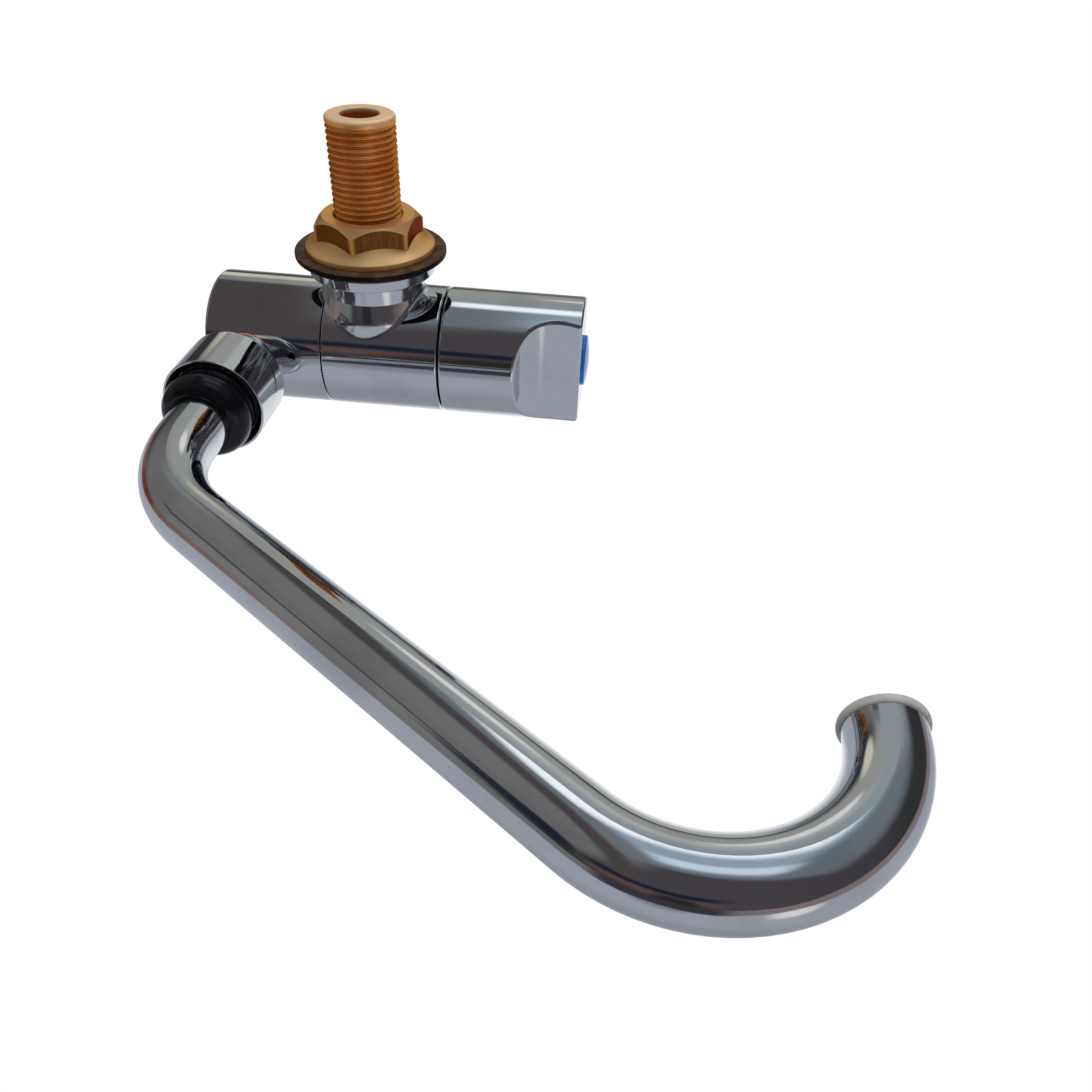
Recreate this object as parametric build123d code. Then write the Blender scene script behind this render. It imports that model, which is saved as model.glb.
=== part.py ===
from build123d import *
import math
import os

# A folding faucet: a deck-mounted cold-water valve whose spout head folds flat.
# Frame: +Z up, origin on the shank axis at the underside of the base (the deck plane).
# The body's axis runs along X, the knob is at -X and the folding head at +X.
# At rest the head is folded down to the front, so the spout lies level, towards -Y.
# All sizes are in millimetres.

# Body and base
BODY_DIAMETER = 41.5
BODY_LENGTH = 38.0
AXIS_HEIGHT = 30.75
HEAD_JOINT_OFFSET = 14.1
JOINT_EDGE_RADIUS = 0.3
KNOB_SIDE_EDGE_RADIUS = 0.8
RIM_DIAMETER = 40.8
RIM_HEIGHT = 4.0
RIM_DRAFT = 0.4
RIM_EDGE_RADIUS = 0.6
NECK_DIAMETER = 32.8
NECK_HEIGHT = 9.8
DRUM_DIAMETER = 35.8
DRUM_HEIGHT = 15.9
DRUM_EDGE_RADIUS = 6.0
SADDLE_RADIUS = 2.0

# Inlet shank, a G 1/2 parallel pipe thread modelled at its full diameter
SHANK_DIAMETER = 20.955
SHANK_BORE = 11.6
SHANK_LENGTH_BELOW_DECK = 43.2
SHANK_ENGAGEMENT = 8.5
SHANK_END_CHAMFER = 0.5
SHANK_END_CHAMFER_LENGTH = 1.2
RELIEF_DEPTH = 0.35
RELIEF_WIDTH = 0.8
THREAD_CLEARANCE = 0.05
SOCKET_END_GAP = 0.5

# Deck gasket and mounting nut
DECK_GAP = 0.1
GASKET_DIAMETER = 48.0
GASKET_THICKNESS = 3.0
GASKET_BEVEL_WIDTH = 2.0
GASKET_BEVEL_HEIGHT = 1.4
GASKET_EDGE_RADIUS = 0.4
GASKET_BORE_CLEARANCE = 0.3
NUT_FLANGE_DIAMETER = 41.2
NUT_FLANGE_RIM = 1.5
NUT_FLANGE_EDGE = 0.9
NUT_SKIRT_HEIGHT = 4.9
NUT_HEX_FLATS = 30.0
NUT_HEIGHT = 10.9
NUT_FACE_DIAMETER = 29.0
NUT_CHAMFER_ANGLE = 45.0
NUT_TURN = 34.0
NUT_COUNTERSINK = 0.5

# Base O-ring, in a groove in the underside
BASE_RING_DIAMETER = 34.0
BASE_RING_SECTION = 1.9
RING_CLEARANCE = 0.05

# Water ways inside the body
CARTRIDGE_POCKET_DIAMETER = 21.0
SEAT_DEPTH = 15.9
SEAT_BORE = 9.0
INLET_BORE = 9.0
BYPASS_BORE = 6.0
BYPASS_OFFSET = 12.5
BYPASS_START = 9.9
LINK_BORE = 3.6
SPINDLE_CHAMBER_LENGTH = 2.0

# Ceramic cartridge
CARTRIDGE_THREAD_LENGTH = 6.4
CARTRIDGE_BARREL_DIAMETER = 17.2
CARTRIDGE_HEX_FLATS = 24.0
CARTRIDGE_HEX_HEIGHT = 3.1
CARTRIDGE_NECK_DIAMETER = 14.0
CARTRIDGE_NECK_LENGTH = 11.0
CARTRIDGE_CAVITY_DIAMETER = 13.2
CARTRIDGE_SEAT_GAP = 1.0
WINDOW_LENGTH = 2.4
WINDOW_HEIGHT = 8.0
SEAT_SEAL_LENGTH = 4.0
SEAT_SEAL_BORE = 7.0
DISC_THICKNESS = 2.4
DISC_GAP = 0.05
DISC_OPENING_ANGLE = 80.0
DISC_OPENING_INNER = 1.2
DISC_OPENING_OUTER = 5.2
DRIVER_THICKNESS = 1.6
STEM_DIAMETER = 8.0
STEM_CLEARANCE = 0.05
STEM_RING_SECTION = 1.4
CLIP_THICKNESS = 0.8
CLIP_DIAMETER = 11.0
CLIP_GROOVE_DEPTH = 0.8
CLIP_MOUTH = 4.0
FACE_RING_SECTION = 1.5

# Knob
KNOB_LENGTH = 45.5
KNOB_GAP = 0.5
KNOB_END_EDGE = 1.0
KNOB_CAVITY_DIAMETER = 35.0
KNOB_CAVITY_WALL = 2.6
KNOB_WEB = 3.25
STEM_END_GAP = 0.4
SCALLOP_LENGTH = 20.9
SCALLOP_RADIUS = 14.0
FLAT_DEPTH_HALF = 10.4
FLAT_END_HALF = 11.4
SCALLOP_EDGE_RADIUS = 1.5
CAP_DIAMETER = 16.6
CAP_POCKET_DEPTH = 3.4
CAP_PROUD = 1.2
CAP_DOME = 1.0
CAP_EDGE_RADIUS = 0.4
CAP_CLEARANCE = 0.05
SCREW_DIAMETER = 4.0
SCREW_HEAD_DIAMETER = 7.6
SCREW_HEAD_HEIGHT = 2.2
SCREW_GRIP = 8.5
SCREW_CLEARANCE = 0.15
SCREW_SOCKET_FLATS = 3.0
SCREW_SOCKET_DEPTH = 1.1

# Folding head
HEAD_LENGTH = 38.3
HEAD_GAP = 0.3
HEAD_END_EDGE = 1.0
HEAD_SWEEP_CLEARANCE = 0.4
SPOUT_OFFSET = 39.15
JOURNAL_DIAMETER = 18.0
JOURNAL_LENGTH = 16.9
JOURNAL_CLEARANCE = 0.05
SPINDLE_ROOT_DIAMETER = 16.0
SPINDLE_ROOT_LENGTH = 7.1
SPINDLE_TIP_DIAMETER = 14.0
SPINDLE_TIP_LENGTH = 7.4
SPINDLE_BORE = 10.0
JOURNAL_RING_SECTION = 1.6
JOURNAL_RING_SPACING = 6.0
THRUST_WASHER_THICKNESS = 1.0
THRUST_WASHER_DIAMETER = 21.6
RETAINING_NUT_FLATS = 19.0
RETAINING_NUT_THICKNESS = 4.6
CHAMBER_DIAMETER = 24.0
END_CAP_DIAMETER = 28.0
END_CAP_THICKNESS = 4.2
END_CAP_RING_SECTION = 1.5
BEARING_RING_INNER = 21.0
BEARING_RING_OUTER = 29.0
BEARING_RING_THICKNESS = 1.2
STOP_PIN_DIAMETER = 3.0
STOP_PIN_SHARE_OF_LAND = 0.4
STOP_PIN_ANGLE = 90.0
STOP_PIN_PROJECTION = 3.0
STOP_PIN_SEAT = 4.0
STOP_SLOT_CLEARANCE = 0.3
FOLD_TRAVEL = 90.0

# Spout socket, the chromed cup on the head
SOCKET_REACH = 49.45
SOCKET_LENGTH = 20.95
SOCKET_DIAMETER = 31.0
SOCKET_BACK_EDGE = 2.0
SOCKET_LIP_EDGE = 0.3
SOCKET_NECK_DIAMETER = 19.2
SOCKET_SEAT_DEPTH = 1.85
SOCKET_ROOT_DIAMETER = 17.0
SOCKET_ROOT_LENGTH = 6.0
SOCKET_WATERWAY = 10.4
SOCKET_FLOOR = 3.0
SOCKET_WASHER_THICKNESS = 0.8
SOCKET_BORE = 23.6
MOUTH_BORE = 25.8
MOUTH_DEPTH = 5.5
MOUTH_FLARE_DIAMETER = 29.8
MOUTH_FLARE_DEPTH = 2.4

# Gland, bead and ferrule that hold the swivelling pipe
GLAND_PIPE_CLEARANCE = 0.35
FERRULE_CLEARANCE = 0.05
FERRULE_END_GAP = 1.0
THRUST_RING_THICKNESS = 1.2
FERRULE_RING_SECTION = 1.8
FERRULE_RING_SPACING = 4.2
BEAD_DIAMETER = 25.8
BEAD_BACK_DIAMETER = 24.6
BEAD_FRONT_DIAMETER = 19.4
BEAD_CREST = 5.3
BEAD_LENGTH = 11.8
BEAD_GAP = 0.3
BEAD_EDGE = 2.4
BEAD_END_EDGE = 0.4
BRAZE_CLEARANCE = 0.02

# Spout pipe
PIPE_DIAMETER = 17.7
PIPE_WALL = 1.0
PIPE_FIRST_STRAIGHT = 19.55
PIPE_BEND_RADIUS = 44.4
PIPE_BEND_ANGLE = 53.5
PIPE_REACH_LENGTH = 131.0
PIPE_HOOK_RADIUS = 37.8
PIPE_TAIL = 1.55
PIPE_FERRULE_LIP = 1.0

# Outlet insert, the grey plastic nozzle pressed into the pipe's end
INSERT_FLANGE_DIAMETER = 19.2
INSERT_FLANGE_THICKNESS = 2.2
INSERT_FLANGE_EDGE = 0.9
INSERT_SPIGOT_LENGTH = 6.0
INSERT_MOUTH = 12.6
INSERT_WATERWAY = 11.8
INSERT_CLEARANCE = 0.05
MOUTH_RECESS = 4.5
VANE_THICKNESS = 0.9
VANE_COUNT = 3

# Stations worked out from the sizes above
BODY_RADIUS = BODY_DIAMETER / 2
KNOB_JOINT_X = HEAD_JOINT_OFFSET - BODY_LENGTH
HEAD_FACE_X = HEAD_JOINT_OFFSET + HEAD_GAP
HEAD_END_X = HEAD_FACE_X + HEAD_LENGTH
SEAT_X = KNOB_JOINT_X + SEAT_DEPTH
KNOB_OPEN_X = KNOB_JOINT_X - KNOB_GAP
KNOB_END_X = KNOB_OPEN_X - KNOB_LENGTH
GASKET_TOP_Z = -DECK_GAP
NUT_TOP_Z = GASKET_TOP_Z - GASKET_THICKNESS
NUT_END_Z = NUT_TOP_Z - NUT_HEIGHT
MOUTH_Y = -SOCKET_REACH
CUP_BACK_Y = MOUTH_Y + SOCKET_LENGTH
CUP_FLOOR_Y = CUP_BACK_Y - SOCKET_FLOOR
GLAND_BACK_Y = MOUTH_Y + MOUTH_DEPTH
GLAND_FRONT_Y = MOUTH_Y + MOUTH_FLARE_DEPTH
SCALLOP_START_X = KNOB_OPEN_X - (KNOB_LENGTH - SCALLOP_LENGTH)
RING_LAND = BODY_DIAMETER - BEARING_RING_OUTER
STOP_PIN_CIRCLE = BEARING_RING_OUTER + STOP_PIN_SHARE_OF_LAND * RING_LAND
JOURNAL_END_X = HEAD_JOINT_OFFSET + JOURNAL_LENGTH
ROOT_START_X = HEAD_JOINT_OFFSET - SPINDLE_ROOT_LENGTH
HOOK_TURN = 180.0 - PIPE_BEND_ANGLE
SEAT_Y = -BODY_RADIUS + SOCKET_SEAT_DEPTH
NECK_FOOT_Y = SEAT_Y - SOCKET_WASHER_THICKNESS


def bar(start, end, diameter):
    """A round bar between two points."""
    run = Vector(*end) - Vector(*start)
    return Solid.make_cylinder(diameter / 2, run.length, Plane(origin=start, z_dir=run))


def body_bar(x_start, x_end, diameter):
    """A round bar on the body's axis."""
    return bar((x_start, 0, AXIS_HEIGHT), (x_end, 0, AXIS_HEIGHT), diameter)


def shank_bar(z_start, z_end, diameter):
    """A round bar on the shank's axis."""
    return bar((0, 0, z_start), (0, 0, z_end), diameter)


def socket_bar(y_start, y_end, diameter):
    """A round bar on the axis that the spout swivels about."""
    return bar((SPOUT_OFFSET, y_start, AXIS_HEIGHT), (SPOUT_OFFSET, y_end, AXIS_HEIGHT), diameter)


def ring_cord(centre, direction, mean_diameter, section):
    """An O-ring of round section."""
    plane = Plane(origin=centre, z_dir=direction)
    return Solid.make_torus(mean_diameter / 2, section / 2, plane)


def hexagon(centre, direction, flats, height, turn):
    """A hexagonal prism that starts at the centre point and runs along the direction."""
    outline = RegularPolygon(flats / 2, 6, major_radius=False, rotation=turn)
    return extrude(Plane(origin=centre, z_dir=direction) * outline, height)


def turned(points, roundings):
    """A solid turned about Z from half its section; roundings maps a point's index to its radius."""
    section = make_face(Polyline(*points, close=True))
    for index, radius in roundings.items():
        corner = section.vertices().sort_by_distance(points[index])[0]
        section = fillet(corner, radius)
    return revolve(Plane.XZ * section, Axis.Z)


def rounded(bar_solid, axis, low_radius, high_radius):
    """Round a bar's edges at the two ends of an axis."""
    edges = bar_solid.edges().filter_by(GeomType.CIRCLE).sort_by(axis)
    result = fillet(edges[0], low_radius)
    edges = result.edges().filter_by(GeomType.CIRCLE).sort_by(axis)
    return fillet(edges[-1], high_radius)


def make_drum():
    """The round drum under the body, which draws in to the width of the neck below it."""
    spread = (DRUM_DIAMETER - NECK_DIAMETER) / 2 / (DRUM_HEIGHT - NECK_HEIGHT)
    foot_radius = NECK_DIAMETER / 2 - spread * (NECK_HEIGHT - RIM_HEIGHT)
    points = [
        (0, RIM_HEIGHT),
        (foot_radius, RIM_HEIGHT),
        (DRUM_DIAMETER / 2, DRUM_HEIGHT),
        (DRUM_DIAMETER / 2, AXIS_HEIGHT),
        (0, AXIS_HEIGHT),
    ]
    return turned(points, {2: DRUM_EDGE_RADIUS})


def make_body_shell():
    """Cylinder, drum, neck and rim, blended where the drum meets the cylinder."""
    cylinder = body_bar(KNOB_JOINT_X, HEAD_END_X, BODY_DIAMETER)
    shell = cylinder + make_drum()
    saddle = shell.edges().filter_by(GeomType.BSPLINE)
    shell = fillet(saddle, SADDLE_RADIUS)
    rim_radius = RIM_DIAMETER / 2
    rim = Solid.make_cone(rim_radius, rim_radius - RIM_DRAFT, RIM_HEIGHT)
    shell += rounded(rim, Axis.Z, RIM_EDGE_RADIUS / 2, RIM_EDGE_RADIUS)
    shell += shank_bar(0, NECK_HEIGHT, NECK_DIAMETER)
    head_sweep = BODY_DIAMETER + 2 * HEAD_SWEEP_CLEARANCE
    shell -= body_bar(HEAD_JOINT_OFFSET, HEAD_END_X + 1, head_sweep)
    for x, radius in ((KNOB_JOINT_X, KNOB_SIDE_EDGE_RADIUS), (HEAD_JOINT_OFFSET, JOINT_EDGE_RADIUS)):
        rims = shell.edges().filter_by(GeomType.CIRCLE).filter_by_position(Axis.X, x - 0.01, x + 0.01)
        outer = [edge for edge in rims if abs(edge.radius - BODY_RADIUS) < 0.01]
        shell = fillet(outer, radius)
    return shell


def cut_body_waterways(body):
    """Shank socket, inlet bore, seat, cartridge pocket, bypass and spindle chamber."""
    socket_top = SHANK_ENGAGEMENT + SOCKET_END_GAP
    body -= shank_bar(-1, socket_top, SHANK_DIAMETER + 2 * THREAD_CLEARANCE)
    inlet_x = (INLET_BORE - SHANK_BORE) / 2
    body -= bar((inlet_x, 0, socket_top - 1), (inlet_x, 0, AXIS_HEIGHT), INLET_BORE)
    body -= Pos(inlet_x, 0, AXIS_HEIGHT) * Sphere(INLET_BORE / 2)
    body -= body_bar(SEAT_X - 1, inlet_x, SEAT_BORE)
    body -= body_bar(KNOB_JOINT_X - 1, SEAT_X, CARTRIDGE_POCKET_DIAMETER)
    chamber_x = ROOT_START_X - SPINDLE_CHAMBER_LENGTH
    body -= body_bar(chamber_x, HEAD_JOINT_OFFSET + 1, SPINDLE_ROOT_DIAMETER + 2 * THREAD_CLEARANCE)
    link_x = chamber_x + LINK_BORE / 2
    high_z = AXIS_HEIGHT + BYPASS_OFFSET
    body -= bar((link_x, 0, AXIS_HEIGHT), (link_x, 0, high_z), LINK_BORE)
    body -= bar((KNOB_JOINT_X + BYPASS_START, 0, high_z), (link_x, 0, high_z), BYPASS_BORE)
    return body


def make_valve_body():
    """The chromed brass casting: cylinder, pedestal and the seats for all that it holds."""
    body = cut_body_waterways(make_body_shell())
    groove = BASE_RING_SECTION + 2 * RING_CLEARANCE
    groove_outer = shank_bar(-1, groove, BASE_RING_DIAMETER + groove)
    body -= groove_outer - shank_bar(-1, groove, BASE_RING_DIAMETER - groove)
    face_groove = FACE_RING_SECTION + RING_CLEARANCE
    body -= body_bar(KNOB_JOINT_X - 1, KNOB_JOINT_X + face_groove, face_ring_mean() + 2 * face_groove)
    recess_x = HEAD_JOINT_OFFSET - BEARING_RING_THICKNESS
    recess = body_bar(recess_x, HEAD_JOINT_OFFSET + 1, BEARING_RING_OUTER)
    body -= recess - body_bar(recess_x, HEAD_JOINT_OFFSET + 1, BEARING_RING_INNER)
    pin_start, pin_end = stop_pin_points()
    return body - bar(pin_start, pin_end, STOP_PIN_DIAMETER + 2 * BRAZE_CLEARANCE)


def make_inlet_shank():
    """Threaded brass tube, with a fine relief between the nut's stretch and the hose's."""
    shank = shank_bar(-SHANK_LENGTH_BELOW_DECK, SHANK_ENGAGEMENT, SHANK_DIAMETER)
    low_edge = shank.edges().filter_by(GeomType.CIRCLE).sort_by(Axis.Z)[0]
    low_face = shank.faces().sort_by(Axis.Z)[0]
    shank = chamfer(low_edge, SHANK_END_CHAMFER, SHANK_END_CHAMFER_LENGTH, reference=low_face)
    relief_z = NUT_END_Z + RELIEF_WIDTH
    relief = shank_bar(NUT_END_Z, relief_z, SHANK_DIAMETER + 1)
    shank -= relief - shank_bar(NUT_END_Z, relief_z, SHANK_DIAMETER - 2 * RELIEF_DEPTH)
    return shank - shank_bar(-SHANK_LENGTH_BELOW_DECK - 1, SHANK_ENGAGEMENT + 1, SHANK_BORE)


def make_base_o_ring():
    """Seals the base against the deck."""
    middle = BASE_RING_SECTION / 2 + RING_CLEARANCE
    return ring_cord((0, 0, middle), (0, 0, 1), BASE_RING_DIAMETER, BASE_RING_SECTION)


def make_deck_gasket():
    """Rubber washer between the deck and the nut, bevelled towards the deck."""
    bore_radius = SHANK_DIAMETER / 2 + GASKET_BORE_CLEARANCE
    points = [
        (bore_radius, NUT_TOP_Z),
        (GASKET_DIAMETER / 2, NUT_TOP_Z),
        (GASKET_DIAMETER / 2, GASKET_TOP_Z - GASKET_BEVEL_HEIGHT),
        (GASKET_DIAMETER / 2 - GASKET_BEVEL_WIDTH, GASKET_TOP_Z),
        (bore_radius, GASKET_TOP_Z),
    ]
    return turned(points, {1: GASKET_EDGE_RADIUS, 2: GASKET_EDGE_RADIUS})


def make_mounting_nut():
    """Brass hexagon nut with a round flange that slopes up to the flats, and chamfered corners."""
    bore_radius = SHANK_DIAMETER / 2 + THREAD_CLEARANCE
    points = [
        (bore_radius, NUT_TOP_Z),
        (NUT_FLANGE_DIAMETER / 2, NUT_TOP_Z),
        (NUT_FLANGE_DIAMETER / 2, NUT_TOP_Z - NUT_FLANGE_RIM),
        (NUT_HEX_FLATS / 2, NUT_TOP_Z - NUT_SKIRT_HEIGHT),
        (bore_radius, NUT_TOP_Z - NUT_SKIRT_HEIGHT),
    ]
    flange = turned(points, {1: JOINT_EDGE_RADIUS, 2: NUT_FLANGE_EDGE})
    end = Plane(origin=(0, 0, NUT_END_Z))
    prism_height = NUT_HEIGHT - NUT_FLANGE_RIM / 2
    prism = hexagon(end.origin, end.z_dir, NUT_HEX_FLATS, prism_height, NUT_TURN)
    tip_radius = NUT_FACE_DIAMETER / 2
    foot_radius = tip_radius + prism_height * math.tan(math.radians(90 - NUT_CHAMFER_ANGLE))
    nut = flange + (prism & Solid.make_cone(tip_radius, foot_radius, prism_height, end))
    nut -= shank_bar(NUT_END_Z - 1, NUT_TOP_Z + 1, 2 * bore_radius)
    return nut - Solid.make_cone(bore_radius + NUT_COUNTERSINK, bore_radius, NUT_COUNTERSINK, end)


def face_ring_mean():
    """Mean diameter of the O-ring under the cartridge's hexagon."""
    return CARTRIDGE_POCKET_DIAMETER + FACE_RING_SECTION


def make_cartridge_body():
    """Brass cartridge: threaded barrel, hexagon, neck, disc cavity and side windows."""
    thread_end = KNOB_JOINT_X + CARTRIDGE_THREAD_LENGTH
    barrel_end = SEAT_X - CARTRIDGE_SEAT_GAP
    hex_start = KNOB_JOINT_X - CARTRIDGE_HEX_HEIGHT
    neck_end = hex_start - CARTRIDGE_NECK_LENGTH
    thread = body_bar(KNOB_JOINT_X, thread_end, CARTRIDGE_POCKET_DIAMETER - 2 * THREAD_CLEARANCE)
    barrel = body_bar(KNOB_JOINT_X, barrel_end, CARTRIDGE_BARREL_DIAMETER)
    head = hexagon((KNOB_JOINT_X, 0, AXIS_HEIGHT), (-1, 0, 0), CARTRIDGE_HEX_FLATS, CARTRIDGE_HEX_HEIGHT, 0)
    neck = body_bar(neck_end, hex_start, CARTRIDGE_NECK_DIAMETER)
    cartridge = thread + barrel + head + neck
    cartridge -= body_bar(cavity_top_x(), SEAT_X, CARTRIDGE_CAVITY_DIAMETER)
    cartridge -= body_bar(neck_end - 1, SEAT_X, STEM_DIAMETER + 2 * STEM_CLEARANCE)
    window_x = thread_end + WINDOW_LENGTH / 2
    window = Box(WINDOW_LENGTH, CARTRIDGE_POCKET_DIAMETER, WINDOW_HEIGHT)
    return cartridge - Pos(window_x, 0, AXIS_HEIGHT) * window


def disc_face_x():
    """Where the seat seal meets the lower disc."""
    return SEAT_X - SEAT_SEAL_LENGTH - DISC_GAP


def upper_disc_x():
    """The sliding face between the two ceramic discs."""
    return disc_face_x() - DISC_THICKNESS - DISC_GAP


def driver_x():
    """The face of the stem's driver flange, against the upper disc."""
    return upper_disc_x() - DISC_THICKNESS - DISC_GAP


def cavity_top_x():
    """The shoulder in the cartridge that the driver flange turns against."""
    return driver_x() - DRIVER_THICKNESS - DISC_GAP


def ceramic_disc(x_start, turn):
    """A ceramic disc with two opposite sector openings."""
    x_end = x_start - DISC_THICKNESS
    disc = body_bar(x_end, x_start, CARTRIDGE_CAVITY_DIAMETER - 2 * DISC_GAP)
    sector = Face.make_rect(DISC_THICKNESS + 2, DISC_OPENING_OUTER - DISC_OPENING_INNER)
    middle_x = (x_start + x_end) / 2
    middle_radius = (DISC_OPENING_OUTER + DISC_OPENING_INNER) / 2
    sector = Plane(origin=(middle_x, middle_radius, 0), x_dir=(1, 0, 0), z_dir=(0, 0, 1)) * sector
    opening = revolve(sector, Axis.X, DISC_OPENING_ANGLE)
    for side in (0, 180):
        start_angle = turn + side - DISC_OPENING_ANGLE / 2
        disc -= Pos(0, 0, AXIS_HEIGHT) * (Rot(start_angle, 0, 0) * opening)
    return disc


def make_lower_disc():
    """The fixed ceramic disc, its openings up and down."""
    return ceramic_disc(disc_face_x(), 90)


def make_upper_disc():
    """The turning ceramic disc, drawn shut, a quarter turn from the fixed one's openings."""
    return ceramic_disc(upper_disc_x(), 0)


def make_seat_seal():
    """Rubber sleeve that presses the discs together and seals on the seat."""
    outer = body_bar(SEAT_X - SEAT_SEAL_LENGTH, SEAT_X, CARTRIDGE_CAVITY_DIAMETER - 2 * RING_CLEARANCE)
    return outer - body_bar(SEAT_X - SEAT_SEAL_LENGTH - 1, SEAT_X + 1, SEAT_SEAL_BORE)


def make_cartridge_face_ring():
    """O-ring under the cartridge's hexagon."""
    middle_x = KNOB_JOINT_X + FACE_RING_SECTION / 2 + RING_CLEARANCE / 2
    centre = (middle_x, 0, AXIS_HEIGHT)
    return ring_cord(centre, (1, 0, 0), face_ring_mean() + RING_CLEARANCE, FACE_RING_SECTION)


def stem_ring_x():
    """Middle of the stem's O-ring groove, inside the hexagon."""
    return KNOB_JOINT_X - CARTRIDGE_HEX_HEIGHT / 2


def clip_x():
    """The stem clip's inner face, just outside the cartridge's neck."""
    return KNOB_JOINT_X - CARTRIDGE_HEX_HEIGHT - CARTRIDGE_NECK_LENGTH - DISC_GAP


def stem_end_x():
    """The stem's outer end, just short of the bottom of the knob's hub."""
    return knob_hub_x() + STEM_END_GAP


def make_cartridge_stem():
    """Brass stem with a driver flange, an O-ring groove, a clip groove and a tapped end."""
    stem = body_bar(stem_end_x(), driver_x(), STEM_DIAMETER)
    stem += body_bar(driver_x() - DRIVER_THICKNESS, driver_x(), CARTRIDGE_CAVITY_DIAMETER - 2 * DISC_GAP)
    groove_half = STEM_RING_SECTION / 2 + RING_CLEARANCE
    groove = body_bar(stem_ring_x() - groove_half, stem_ring_x() + groove_half, STEM_DIAMETER + 1)
    stem -= groove - body_bar(stem_ring_x() - groove_half, stem_ring_x() + groove_half, stem_ring_inner())
    clip_end = clip_x() - CLIP_THICKNESS - DISC_GAP
    slot = body_bar(clip_end, clip_x(), STEM_DIAMETER + 1)
    stem -= slot - body_bar(clip_end, clip_x(), STEM_DIAMETER - 2 * CLIP_GROOVE_DEPTH)
    tapped_end = stem_end_x() + SCREW_GRIP + 1
    return stem - body_bar(stem_end_x() - 1, tapped_end, SCREW_DIAMETER + 2 * THREAD_CLEARANCE)


def stem_ring_inner():
    """Diameter at the bottom of the stem's O-ring groove."""
    return STEM_DIAMETER - 2 * STEM_RING_SECTION + 2 * RING_CLEARANCE


def make_stem_o_ring():
    """O-ring on the stem."""
    mean = STEM_DIAMETER - STEM_RING_SECTION + RING_CLEARANCE
    section = STEM_RING_SECTION - RING_CLEARANCE
    return ring_cord((stem_ring_x(), 0, AXIS_HEIGHT), (1, 0, 0), mean, section)


def make_stem_clip():
    """Open spring clip that keeps the stem in the cartridge."""
    low_x = clip_x() - CLIP_THICKNESS - DISC_GAP / 2
    high_x = low_x + CLIP_THICKNESS
    clip = body_bar(low_x, high_x, CLIP_DIAMETER)
    clip -= body_bar(low_x - 1, high_x + 1, STEM_DIAMETER - 2 * CLIP_GROOVE_DEPTH + 2 * BRAZE_CLEARANCE)
    mouth = Box(3 * CLIP_THICKNESS, CLIP_MOUTH, CLIP_DIAMETER)
    return clip - Pos(low_x, 0, AXIS_HEIGHT + CLIP_DIAMETER / 2) * mouth


def scallop_cutter():
    """The thumb flat on the knob's front: a concave run-in and a flat that rises to the end."""
    deep_x = SCALLOP_START_X - math.sqrt(
        SCALLOP_RADIUS ** 2 - (SCALLOP_RADIUS - BODY_RADIUS + FLAT_DEPTH_HALF) ** 2
    )
    run_in_y = -FLAT_DEPTH_HALF - SCALLOP_RADIUS
    flat_end_to_centre = math.hypot(deep_x - KNOB_END_X, run_in_y + FLAT_END_HALF)
    tilt = math.asin(SCALLOP_RADIUS / flat_end_to_centre)
    tilt += math.atan2(run_in_y + FLAT_END_HALF, deep_x - KNOB_END_X)
    foot_x = deep_x - SCALLOP_RADIUS * math.sin(tilt)
    foot_y = run_in_y + SCALLOP_RADIUS * math.cos(tilt)
    over_x = KNOB_END_X - 1
    outline = Polyline(
        (foot_x, foot_y),
        (over_x, foot_y - (foot_x - over_x) * math.tan(tilt)),
        (over_x, -BODY_DIAMETER),
        (foot_x, -BODY_DIAMETER),
        close=True,
    )
    slab = extrude(make_face(outline), BODY_DIAMETER + 2)
    run_in = bar((deep_x, run_in_y, 0), (deep_x, run_in_y, BODY_DIAMETER + 2), 2 * SCALLOP_RADIUS)
    return Pos(0, 0, AXIS_HEIGHT - BODY_RADIUS - 1) * (slab + run_in)


def make_knob():
    """Chromed knob with two scalloped thumb flats, hollow over the cartridge."""
    knob = body_bar(KNOB_END_X, KNOB_OPEN_X, BODY_DIAMETER)
    front = scallop_cutter()
    knob -= front
    knob -= mirror(front, Plane.XZ)
    open_edge = knob.edges().filter_by(GeomType.CIRCLE).sort_by(Axis.X)[-1]
    knob = fillet(open_edge, KNOB_SIDE_EDGE_RADIUS)
    brinks = knob.edges().filter_by(GeomType.BSPLINE) + knob.edges().filter_by(GeomType.ELLIPSE)
    knob = fillet(brinks, SCALLOP_EDGE_RADIUS)
    end_edges = knob.edges().filter_by_position(Axis.X, KNOB_END_X - 0.01, KNOB_END_X + 0.01)
    knob = fillet(end_edges, KNOB_END_EDGE)
    knob -= body_bar(SCALLOP_START_X + KNOB_CAVITY_WALL, KNOB_OPEN_X + 1, KNOB_CAVITY_DIAMETER)
    knob -= body_bar(knob_hub_x(), KNOB_OPEN_X, STEM_DIAMETER + 2 * BRAZE_CLEARANCE)
    knob -= body_bar(KNOB_END_X - 1, KNOB_OPEN_X, SCREW_DIAMETER + 2 * SCREW_CLEARANCE)
    knob -= body_bar(KNOB_END_X - 1, head_pocket_x(), SCREW_HEAD_DIAMETER + 2 * SCREW_CLEARANCE)
    return knob - body_bar(KNOB_END_X - 1, cap_pocket_x(), CAP_DIAMETER + 2 * CAP_CLEARANCE)


def cap_pocket_x():
    """Bottom of the pocket for the cap."""
    return KNOB_END_X + CAP_POCKET_DEPTH


def head_pocket_x():
    """Bottom of the pocket for the screw's head."""
    return cap_pocket_x() + SCREW_HEAD_HEIGHT + SCREW_CLEARANCE


def knob_hub_x():
    """Bottom of the hub's bore, where the web under the screw's head starts."""
    return head_pocket_x() + KNOB_WEB


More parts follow.
